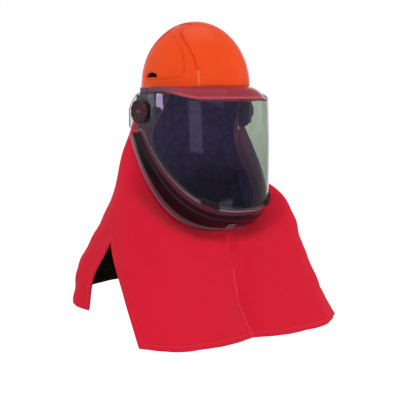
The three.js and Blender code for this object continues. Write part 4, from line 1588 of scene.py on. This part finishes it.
        # The band is darker towards the front, by its marked colour
        front = np.broadcast_to((1 - smooth(ends, *self.front_dark_step))[:, None], (len(ends), len(angle)))
        band = make_object(
            "chin_rim_band", rings(np.concatenate([first, grid, last])[::-1], {"crease": front}))
        dress(band, (CUP_RIM,), Body.VISOR, ["chin_rim"])

    def build_pad(self) -> None:
        """The small square pad: a wall on the cup's own surface, a gap above it."""
        half = self.pad_side / 2 / (self.window.half_width + self.flare)
        turn = math.radians(self.pad_turn) + np.linspace(-half, half, self.pad_points)
        share = np.linspace(*self.pad_shares, self.pad_points)[:, None]
        grid = self.point(turn[None] + 0 * share, share + 0 * turn)
        pad = make_object("chin_pad_plate", wall(grid, self.gap + self.pad_thickness, self.gap))
        soften(pad, self.pad_softness, 3)
        dress(pad, (CUP_PAD, CUP_PAD), Body.VISOR, ["chin_pad"])


@dataclass
class Clip:
    """A ribbed clip on the window, just above its lower edge."""

    window: Window
    side: Side
    length: float = 46
    width: float = 15
    overhang: float = 3
    thickness: float = 5
    least_thickness: float = 0.05
    ribs: int = 5
    rib_middle: float = 0.62
    rib_swing: float = 0.38
    rib_floor: float = 0.3
    ribbed_to: float = 0.96
    end_power: int = 16
    side_power: int = 10
    turn: float = 33
    gap: float = 0.3
    columns: int = 121
    rows: int = 21

    def build(self) -> None:
        """A pillow on the window's surface whose height is a row of half sines, rounded off at its ends."""
        half = self.length / 2 / self.window.reach
        middle = self.side.value * math.radians(self.turn)
        u = np.linspace(-1, 1, self.columns)
        v = np.linspace(0, 1, self.rows)[:, None]
        turn = middle + u * half
        z = self.window.lower(turn) + mix(self.width - self.overhang, -self.overhang, v)
        base = self.window.point(turn[None] + 0 * z, z)
        normal = grid_normals(base)
        wave = np.sin((u + 1) / 2 * math.pi * self.ribs * 2 - math.pi / 2)
        ridge = self.rib_middle + self.rib_swing * wave * (np.abs(u) < self.ribbed_to)
        ends = (1 - np.abs(u) ** self.end_power) * (1 - np.abs(2 * v - 1) ** self.side_power)
        height = self.thickness * np.clip(ridge, self.rib_floor, 1) * np.clip(ends, 0, 1) ** 0.5
        outer = base + normal * (self.gap + np.maximum(height, self.least_thickness))[..., None]
        inner = base + normal * self.gap
        skin = wall(base, 1, 0)
        skin.points = np.concatenate([outer.reshape(-1, 3), inner.reshape(-1, 3)])
        clip = make_object("clip_ribbed_" + self.side.word, skin)
        dress(clip, (CLIP_DARK, CLIP_DARK), Body.VISOR, ["clip_" + self.side.word])


@dataclass
class Pivot:
    """One side's bracket with its pale strip, and the knob with its screw."""

    window: Window
    side: Side
    knob_radius: float = 26.5
    knob_thickness: float = 10.5
    grips: int = 10
    grip_depth: float = 2.4
    grip_power: float = 5
    grip_inset: tuple[float, float] = (8, 3)
    stem_radius: float = 6
    stem_reach: float = 14
    screw_radius: float = 5
    screw_height: float = 2
    slot_size: tuple[float, float] = (1.4, 12)
    slot_corner: float = 0.3
    slot_depth: float = 1
    slot_over: float = 7
    bracket_softness: float = 0.7
    bracket_angle: float = 30
    strip_softness: float = 0.6
    gap: float = 0.3
    wash_gap: float = 0.2

    @property
    def knob_body(self) -> Body:
        """The knob's own body."""
        return Body.KNOB_LEFT if self.side is Side.LEFT else Body.KNOB_RIGHT

    def lathe(self, name: str, profile: Array, base: float, columns: int = 160,
              scallop: Callable[[Array, Array], Array] | None = None) -> bpy.types.Object:
        """A turned solid about the hinge's line.

        Args:
            name: The piece's name.
            profile: Radius and outward distance, from the inner end's middle to the outer end's.
            base: X of distance zero.
            columns: Points round it.
            scallop: Gives the depth taken off the radius at a radius and angle.

        Returns:
            The object; its rings are circles whose radius may dip with the angle.
        """
        angle = np.arange(columns) / columns * 2 * math.pi
        radius = profile[:, :1] + 0 * angle
        if scallop:
            radius = radius - scallop(profile[:, :1] + 0 * angle, angle[None] + 0 * radius)
        x = self.side.value * (base + profile[:, 1:] + 0 * angle)
        grid = np.stack([x, np.cos(angle) * radius, self.window.pivot_z + np.sin(angle) * radius], -1)
        return make_object(name, rings(grid))

    def build(self) -> None:
        """All the pieces of this side."""
        word = self.side.word
        bracket = node_copy("pivot_bracket_" + word, "bracket_" + word)
        soften(bracket, self.bracket_softness, angle=self.bracket_angle)
        dress(bracket, (BRACKET_DARK,), Body.HOOD, ["bracket_" + word])
        strip = node_copy("pale_strip_" + word, "bracket_strip_" + word)
        soften(strip, self.strip_softness, 3)
        dress(strip, (PALE_PLASTIC,), Body.HOOD, ["bracket_strip_" + word])
        base = self.window.half_width + self.gap + self.wash_gap
        t, r, s = self.knob_thickness, self.knob_radius, self.screw_radius
        # Radius and outward distance, from the stem's end round the grip to the floor of the screw's seat
        profile = np.array([
            (0, -self.stem_reach), (self.stem_radius - 0.5, -self.stem_reach),
            (self.stem_radius, -self.stem_reach + 0.5), (self.stem_radius, 0), (r - 3, 0), (r - 0.8, 0.7),
            (r, 2.4), (r, t * 0.45), (r - 0.4, t * 0.68), (r - 1.6, t * 0.9), (r - 3.4, t), (r - 5.6, t),
            (r - 6.6, t - 0.4), (r - 7.6, t - 1.4), (r - 8.6, t - 1.8), (r * 0.55, t - 1.9),
            (r * 0.5, t - 1.5), (r * 0.42, t - 1.5), (r * 0.38, t - 2), (s + 1.5, t - 2),
            (s + self.gap, t - 2), (s + self.gap, t - 2 - self.screw_height), (0, t - 2 - self.screw_height)])

        def scallop(radius: Array, angle: Array) -> Array:
            """Finger grooves: a narrow power of a cosine round the knob, only near its full radius."""
            wave = (0.5 + 0.5 * np.cos(angle * self.grips)) ** self.grip_power
            return self.grip_depth * wave * smooth(radius, r - self.grip_inset[0], r - self.grip_inset[1])

        knob = self.lathe("knob_grip_" + word, profile, base, scallop=scallop)
        dress(knob, (KNOB_BROWN,), self.knob_body, ["knob_" + word])
        foot = t - 2 - self.screw_height + self.gap
        head = np.array([
            (0, 0), (s - 0.3, 0), (s, 0.3), (s, self.screw_height * 0.55),
            (s * 0.85, self.screw_height * 0.9), (s * 0.5, self.screw_height),
            (0, self.screw_height)]) + np.array([0, foot])
        screw = self.lathe("knob_screw_head_" + word, head, base, 48)
        slot = rounded_outline(*self.slot_size, self.slot_corner, (0, self.window.pivot_z))
        top = base + foot + self.screw_height
        cut(screw, [prism("slot_cutter", slot, self.side.axes, top - self.slot_depth, top + self.slot_over)])
        dress(screw, (SCREW_GREY,), self.knob_body, ["knob_screw_" + word])


# The cloth


@dataclass
class Hood:
    """The cloth hood with its bib and back panel, and its black lining."""

    hat: HardHat
    cup: ChinCup
    cloth: float = 2
    lining: float = 1
    lining_gap: float = 0.7
    hem_drop: float = 535
    bib_half_width: float = 283
    bib_reach: float = 215
    back_half_width: float = 205
    back_reach: float = 250
    shoulder_drop: float = 335
    shoulder_half_width: float = 240
    yoke_below_cup: float = 22
    neck_drop: float = 215
    opening_half_width: float = 110
    opening_length: float = 135
    collar_last_turn: float = 86
    collar_fit: float = 8
    rim_fit: float = 1.5
    tuck: float = 3
    slit_share: float = 0.5
    slit_row: int = 3
    last_row: int = 5
    slit_blend: float = 0.06
    temple_share: float = 0.44
    temple_turn: float = 70
    shoulder_step: tuple[float, float] = (-0.2, 0.2)
    head_light_dimming: float = 0.7
    head_light_dims: tuple[float, float] = (0.9, 2.0)
    head_light_ends: tuple[float, float] = (1.9, 3.0)
    opening_shade_ends: tuple[float, float] = (0.8, 0.92)
    opening_shade_back: float = -20
    seam_row: float = 3.22
    fold_fade: float = 0.8
    ripple_waves: float = 9
    ripple_rows: float = 1.1
    ripple_depth: float = 2.0
    ripple_step: tuple[float, float] = (1.4, 3)
    ripple_seed: int = 5
    ripple_free: float = 0.03
    far: float = 900
    back_map: float = 2000
    weld: float = 0.05
    lining_inset: float = 0.012
    lining_weld: float = 0.4
    row_count: int = 150
    back_columns: int = 70
    front_columns: int = 90
    # Rings of the cloth: share round, then half width, reach forward and drop, as shares of the ring's own
    opening_edge: Table = (
        (0.44, 0.905, 0.335, 0.01), (0.5, 0.99, 0.19, 0.233), (0.56, 1.06, 0, 0.433),
        (0.62, 1.08, 0.06, 0.628), (0.7, 1.009, 0.44, 0.916), (0.78, 0.84, 0.745, 1.14),
        (0.88, 0.51, 0.807, 1.279), (1, 0, 0.815, 1.344))
    nape_line: Table = (
        (0, 0, -1.037, 0.605), (0.15, 0.773, -0.926, 0.605), (0.3, 1.227, -0.615, 0.605),
        (0.42, 1.31, -0.43, 0.61))
    yoke_line: Table = (
        (0, 0, -0.632, 0.672), (0.15, 0.37, -0.56, 0.678), (0.3, 0.66, -0.352, 0.695),
        (0.42, 0.822, -0.16, 0.702), (0.5, 0.9, 0.05, 0.702), (0.6, 0.87, 0.293, 0.731),
        (0.7, 0.765, 0.521, 0.857), (0.8, 0.508, 0.581, 0.946), (0.9, 0.254, 0.62, 0.997),
        (1, 0, 0.618, 1.009))
    shoulder_line: Table = (
        (0, 0, -0.76, 0.93), (0.15, 0.42, -0.71, 0.945), (0.3, 0.783, -0.516, 0.97),
        (0.42, 0.958, -0.252, 0.976), (0.5, 1, 0.047, 0.976), (0.6, 1.015, 0.363, 1.015),
        (0.7, 0.86, 0.6, 1.05), (0.8, 0.558, 0.65, 1.09), (0.9, 0.275, 0.645, 1.113), (1, 0, 0.632, 1.125))
    middle_back: Table = (
        (0, 0, -0.93, 0.715), (0.15, 0.522, -0.878, 0.721), (0.3, 0.956, -0.742, 0.75),
        (0.42, 1.098, -0.54, 0.77), (0.5, 1.085, -0.335, 0.785))
    middle_front: Table = (
        (0.5, 0.955, 0.465, 0.806), (0.6, 0.885, 0.65, 0.822), (0.7, 0.676, 0.775, 0.837),
        (0.8, 0.438, 0.81, 0.85), (0.9, 0.212, 0.77, 0.856), (1, 0, 0.725, 0.86))
    hem_back: Table = (
        (0, 0, -1, 0.862), (0.15, 0.537, -0.97, 0.872), (0.3, 0.927, -0.83, 0.905),
        (0.42, 1.034, -0.712, 0.93), (0.5, 0.976, -0.552, 0.945))
    hem_front: Table = (
        (0.5, 1, 0.8, 0.981), (0.6, 0.866, 0.907, 0.993), (0.7, 0.671, 0.991, 1.004),
        (0.8, 0.442, 1.009, 1.009), (0.9, 0.212, 0.98, 1.007), (1, 0, 0.935, 1.003))
    # Folds: share round, half width in shares, depth outward, first and last row
    folds: Table = (
        (1, 0.03, -5, 2.2, 4.4), (0.91, 0.05, 4, 2.6, 5), (0.76, 0.05, -4, 2.8, 5), (0.64, 0.05, 4, 2.8, 5),
        (0.32, 0.05, -5, 2, 5), (0.2, 0.06, 5, 2, 5), (0, 0.06, -5, 1.6, 5), (0.54, 0.06, 24, 0, 0.2),
        (0.993, 0.012, -8, 1.1, 2.3))

    def ring(self, table: Table, share: Array, half_width: float, forward: float, drop: float) -> Array:
        """Points of a ring: its table's columns times the half width, the reach forward and the drop."""
        x, y, z = along(table, share).T
        return np.stack([x * half_width, -y * forward, self.hat.rim_z - z * drop], -1)

    def wearer_ring(self, table: Table, share: Array, drop: float) -> Array:
        """A ring on the wearer's shoulders: the back's reach behind, blended into the bib's in front.

        Args:
            table: The ring's table.
            share: Way round, from 0 at the back's middle to 1 at the front's.
            drop: What the table's last column is a share of.

        Returns:
            Points, shape (shares, 3).
        """
        x, y, z = along(table, share).T
        deep = mix(y * self.back_reach, y * self.bib_reach, smooth(y, *self.shoulder_step))
        return np.stack([x * self.shoulder_half_width, -deep, self.hat.rim_z - z * drop], -1)

    def top_ring(self, share: Array) -> Array:
        """The top edge: along the inside of the hat's rim, then down round the face opening.

        Args:
            share: Way round, from 0 at the back's middle to 1 at the front's.

        Returns:
            Points, shape (shares, 3).
        """
        turn = math.pi - share / self.temple_share * (math.pi - math.radians(self.temple_turn))
        inset = self.hat.wall + self.rim_fit
        rim = np.stack([
            np.sin(turn) * (self.hat.half_width - inset), -np.cos(turn) * (self.hat.half_length - inset),
            self.hat.rim_z - self.hat.rim_height + self.tuck + 0 * turn], -1)
        late = np.maximum(share, self.temple_share)
        opening = self.ring(
            self.opening_edge, late, self.opening_half_width, self.opening_length, self.neck_drop)
        return np.where((share <= self.temple_share)[:, None], rim, opening)

    def collar_ring(self, share: Array) -> Array:
        """The collar: the nape's table, then along the chin cup's outer edge, a fit inside it.

        Args:
            share: Way round, from 0 at the back's middle to 1 at the front's.

        Returns:
            Points, shape (shares, 3).
        """
        rows = [
            (s, x * self.opening_half_width, -y * self.opening_length, self.hat.rim_z - z * self.neck_drop)
            for s, x, y, z in self.nape_line]
        for s in np.linspace(self.slit_share, 1, 6):
            turn = math.radians(self.collar_last_turn) * (1 - s) / (1 - self.slit_share)
            x, y, z = self.cup.edge(np.array(turn))
            rows.append((s, x - self.collar_fit * math.sin(turn), y + self.collar_fit * math.cos(turn),
                         z - self.collar_fit / 3))
        return along(rows, share)

    def panel(self, share: Array, row: Array, panel: Panel) -> Array:
        """Points of one panel: a smooth line down through six rings at each share, moved out by the folds.

        Args:
            share: Way round, from 0 at the back's middle to 1 at the front's.
            row: Way down, one for each ring.
            panel: Which half it is below the slits.

        Returns:
            Points, shape (rows, shares, 3).
        """
        ends = {
            Panel.FRONT: (self.middle_front, self.hem_front, self.bib_half_width, self.bib_reach),
            Panel.BACK: (self.middle_back, self.hem_back, self.back_half_width, self.back_reach)}
        lows = {}
        for which, (middle, hem, half_width, reach) in ends.items():
            holds = np.maximum if which is Panel.FRONT else np.minimum
            held = holds(share, self.slit_share)
            lows[which] = [
                self.ring(table, held, half_width, reach, self.hem_drop) for table in (middle, hem)]
        yoke_drop = self.cup.bottom_drop + self.yoke_below_cup
        highs = [
            self.top_ring(share), self.collar_ring(share), self.wearer_ring(self.yoke_line, share, yoke_drop),
            self.wearer_ring(self.shoulder_line, share, self.shoulder_drop)]
        own = np.stack(highs + lows[panel])
        below = self.slit_row + 1
        shared = own.copy()
        beside = np.abs(share - self.slit_share)
        near = (1 - smooth(beside, 0, self.slit_blend))[:, None]
        shared[below] = mix(own[below], (lows[Panel.FRONT][0] + lows[Panel.BACK][0]) / 2, near)
        knots = np.arange(float(len(own)))
        points = np.where(
            (row <= self.slit_row)[:, None, None], hermite(knots, shared, row), hermite(knots, own, row))
        out = np.zeros(points.shape[:2])
        for at, wide, depth, first, last in self.folds:
            down = smooth(row, first, first + self.fold_fade) * (1 - smooth(row, last, last + self.fold_fade))
            out += depth * down[:, None] * np.exp(-(((share - at) / wide) ** 2))
        waves = ripple(share[None] * self.ripple_waves, row[:, None] * self.ripple_rows, self.ripple_seed)
        soft = waves * self.ripple_depth * smooth(row, *self.ripple_step)[:, None]
        away = unit(points[..., :2])
        points[..., :2] += away * (out + soft * smooth(beside, 0, self.ripple_free))[..., None]
        return points

    def half_shares(self, panel: Panel) -> Array:
        """Shares of one half of a panel, from the slit to the middle.

        Args:
            panel: The panel.

        Returns:
            The shares, rising in front and falling behind.
        """
        if panel is Panel.FRONT:
            return np.linspace(self.slit_share, 1, self.front_columns)
        return np.linspace(self.slit_share, 0, self.back_columns)

    def edge_distance(self, across: Array, down: Array, row: Array) -> Array:
        """Distance to the nearest free edge: the hem, the top edge, and the slit or, above it, its end.

        Args:
            across: Length along each row of the panel, in millimetres.
            down: Length down each column.
            row: Way down, one for each row.

        Returns:
            Distances in millimetres, shape (rows, columns).
        """
        side = np.minimum(across, across[:, -1:] - across)
        above = np.maximum(down[self.row_count // 2 - 1][None] - down, 0)
        slit = np.where((row < self.slit_row)[:, None], np.hypot(above, side), side)
        return np.minimum(np.minimum(down[-1:] - down, down), slit)

    def sheet(self, stand: float, inset: float = 0) -> Skin:
        """Both panels as one skin, single, moved along its normals, with its marks and flat map.

        Args:
            stand: Distance out of the cloth's outer face.
            inset: How far its free edges are drawn in, in shares and rows.

        Returns:
            The skin. Its mark 'edge' is the distance to the nearest free edge and 'seam' to the middle seam,
            in millimetres. 'inside' is one near the face opening, where the cloth takes painted shade and
            reflection, and 'head' is painted light round the wearer's head, dimmer lower down.
        """
        half_rows = self.row_count // 2
        above = np.linspace(inset, self.slit_row, half_rows)[:-1]
        row = np.concatenate([above, np.linspace(self.slit_row, self.last_row - inset, half_rows)])
        skins = []
        for panel in Panel:
            front = panel is Panel.FRONT
            points = self.panel(self.half_shares(panel), row, panel)
            other = points * np.array([-1, 1, 1])
            first, last = (other, points) if front else (points, other)
            grid = np.concatenate([first, last[:, ::-1][:, 1:]], 1)
            across, down = path_lengths(grid, 1), path_lengths(grid, 0)
            aside = across - across[:, -1:] / 2
            off_seam = np.where((row < self.seam_row)[:, None], self.far, 0) + (0 if front else self.far)
            grid = grid + grid_normals(grid) * stand
            # Painted light on the lining round the head, dimmer lower down
            head = (1 - self.head_light_dimming * smooth(row, *self.head_light_dims)) * (1 - smooth(row, *self.head_light_ends))
            # Painted shade and reflection on the cloth near the face opening, in front only
            ahead = smooth(-grid[..., 1], self.opening_shade_back, 0)
            marks = {
                "edge": self.edge_distance(across, down, row),
                "seam": np.abs(aside) + off_seam,
                "inside": (1 - smooth(row, *self.opening_shade_ends))[:, None] * ahead,
                "head": np.broadcast_to(head[:, None], aside.shape)}
            flat = np.stack([aside + (0 if front else self.back_map), down], -1)
            skins.append(Skin(
                grid.reshape(-1, 3), grid_faces(*grid.shape[:2]), flat.reshape(-1, 2),
                {name: values.reshape(-1) for name, values in marks.items()}))
        return skins[0].join(skins[1])

    def build(self) -> None:
        """The cloth and its lining, each a single sheet given its thickness inward."""
        cloth = make_object("hood_cloth_sheet", self.sheet(0), self.weld, False)
        self.thicken(cloth, self.cloth)
        dress(cloth, (CLOTH_RED,), Body.HOOD, ["hood_cloth"])
        inner = self.cloth + self.lining_gap
        lining = make_object(
            "hood_lining_sheet", self.sheet(-inner, self.lining_inset), self.lining_weld, False)
        self.thicken(lining, self.lining)
        dress(lining, (LINING_BLACK,), Body.HOOD, ["hood_lining"])

    def thicken(self, piece: bpy.types.Object, thickness: float) -> None:
        """Gives a single sheet its thickness, inward of its face."""
        solid = piece.modifiers.new("thickness", "SOLIDIFY")
        solid.thickness, solid.offset, solid.use_even_offset = thickness * MM, -1, False


# The studio


@dataclass
class Studio:
    """The camera at the photograph's angle, soft lights, and a plain pale floor."""

    azimuth: float = -39.0
    elevation: float = 5.35
    distance: float = 2.453
    aim: tuple[float, float, float] = (0, 0, -0.359)
    sensor: float = 36
    focal: float = 1078 / 400 * 36
    shift: float = 5.25 / 400
    clip_range: tuple[float, float] = (0.05, 60)
    floor_z: float = -1.7
    floor_half: float = 12.0
    floor_glow: float = 0.5
    ambient: float = 0.74
    low_gloss: float = 0.0
    high_gloss: float = 0.3
    far_gloss: float = 1.0
    gloss_step: tuple[float, float] = (-0.14, 0.04)
    far_step: tuple[float, float] = (0.8, 0.97)

    def ahead(self) -> Vector:
        """The way the camera looks."""
        az, el = math.radians(self.azimuth), math.radians(self.elevation)
        return Vector((-math.sin(az) * math.cos(el), math.cos(az) * math.cos(el), -math.sin(el)))

    def build(self) -> None:
        """Camera, floor, lights and surroundings."""
        ahead = self.ahead()
        lens = bpy.data.cameras.new("camera")
        lens.lens, lens.sensor_width, lens.shift_x = self.focal, self.sensor, self.shift
        lens.clip_start, lens.clip_end = self.clip_range
        camera = bpy.data.objects.new("camera", lens)
        camera.location = Vector(self.aim) - ahead * self.distance
        camera.rotation_euler = ahead.to_track_quat("-Z", "Y").to_euler()
        bpy.context.scene.collection.objects.link(camera)
        bpy.context.scene.camera = camera
        bpy.context.scene.view_settings.view_transform = "Standard"
        self.floor()
        self.surroundings()
        self.area("key", (-1.4, -2.6, 1.0), (1.6, 1.6), 14, Seen.MATT)
        self.area("low", (-0.6, -2.6, -1.3), (1.6, 0.7), 9, Seen.MATT)
        self.area("fill", (2.6, -1.2, 0.6), (1.6, 1.6), 10, Seen.MATT)
        self.area("top", (0.2, 0.4, 2.4), (1.8, 1.8), 10)
        self.area("edge", (-2.2, 1.5, 0.6), (0.5, 1.6), 9, Seen.MATT)

    def glows(self, pane: bpy.types.Object) -> None:
        """Two soft boxes that show only as reflections in the window.

        Args:
            pane: The window, the only piece that they light.
        """
        receivers = bpy.data.collections.new("window_only")
        receivers.objects.link(pane)
        self.area("window_glow", (-2.75, -1.5, -0.1), (1.0, 0.55), 1.6, Seen.GLOSS, receivers)
        self.area("temple_glow", (-2.90, 1.12, 0.1), (0.55, 0.5), 7, Seen.GLOSS, receivers)

    def floor(self) -> None:
        """A wide square, finely lit so that it melts into the pale surroundings."""
        half, z = self.floor_half, self.floor_z
        mesh = bpy.data.meshes.new("floor")
        corners = [(-half, -half, z), (half, -half, z), (half, half, z), (-half, half, z)]
        mesh.from_pydata(corners, [], [(0, 1, 2, 3)])
        floor = bpy.data.objects.new("floor", mesh)
        bpy.context.scene.collection.objects.link(floor)
        material = bpy.data.materials.new("floor_pale")
        material.use_nodes = True
        shader = material.node_tree.nodes["Principled BSDF"]
        shader.inputs["Base Color"].default_value = (0.9, 0.9, 0.9, 1)
        shader.inputs["Roughness"].default_value = 0.9
        shader.inputs["Emission Color"].default_value = (1, 1, 1, 1)
        nodes = Nodes(material.node_tree)
        seen = nodes.add("ShaderNodeLightPath").outputs["Is Camera Ray"]
        nodes.put(shader.inputs["Emission Strength"], nodes.maths("MULTIPLY", seen, self.floor_glow))
        mesh.materials.append(material)
        floor.visible_glossy = False

    def surroundings(self) -> None:
        """Pale light from all round: white to the eye and through the window, dimmer in reflections.

        Reflections are dimmest low down, and white again where they look on past the hood.
        """
        world = bpy.data.worlds.new("studio")
        world.use_nodes = True
        nodes = Nodes(world.node_tree)
        back = world.node_tree.nodes["Background"]
        back.inputs["Color"].default_value = (1, 1, 1, 1)
        rays = nodes.add("ShaderNodeLightPath")
        around = nodes.add("ShaderNodeTexCoord").outputs["Generated"]
        level = nodes.add("ShaderNodeSeparateXYZ", Vector=around)
        glossy = nodes.step(level.outputs["Z"], *self.gloss_step, self.low_gloss, self.high_gloss)
        ahead = self.ahead()
        parts = [nodes.maths("MULTIPLY", level.outputs[i], ahead[i]) for i in range(3)]
        away = nodes.maths("ADD", nodes.maths("ADD", parts[0], parts[1]), parts[2])
        glossy = nodes.step(away, *self.far_step, glossy, self.far_gloss)
        seen = nodes.maths("MAXIMUM", rays.outputs["Is Camera Ray"], rays.outputs["Is Transmission Ray"])
        strength = nodes.step(rays.outputs["Is Glossy Ray"], 0.0, 1.0, self.ambient, glossy)
        nodes.put(back.inputs["Strength"], nodes.step(seen, 0.0, 1.0, strength, 1.0))
        bpy.context.scene.world = world

    def area(self, name: str, at: tuple[float, float, float], size: tuple[float, float], power: float,
             seen: Seen = Seen.ALL, receivers: bpy.types.Collection | None = None) -> None:
        """A soft box aimed at the object.

        Args:
            name: The light's name.
            at: Its place, in metres.
            size: Width and height.
            power: Watts.
            seen: What it shows up in.
            receivers: The pieces that it lights, where it doesn't light all.
        """
        light = bpy.data.lights.new(name, "AREA")
        light.shape, light.size, light.size_y, light.energy = "RECTANGLE", size[0], size[1], power
        lamp = bpy.data.objects.new(name, light)
        lamp.location = at
        lamp.rotation_euler = (Vector(self.aim) - Vector(at)).to_track_quat("-Z", "Y").to_euler()
        lamp.visible_glossy = seen is not Seen.MATT
        lamp.visible_diffuse = seen is not Seen.GLOSS
        if receivers:
            lamp.light_linking.receiver_collection = receivers
        bpy.context.scene.collection.objects.link(lamp)


def main() -> None:
    """Builds every sub-assembly in order."""
    logging.basicConfig(level=logging.INFO, format="%(name)s: %(message)s")
    studio = Studio()
    studio.build()
    hat = HardHat()
    hat.build()
    window = Window(hat)
    studio.glows(window.build())
    BrowGuard(hat, window).build()
    cup = ChinCup(window)
    cup.build()
    for side in Side:
        Pivot(window, side).build()
    Hood(hat, cup).build()


if __name__ == "__main__":
    main()
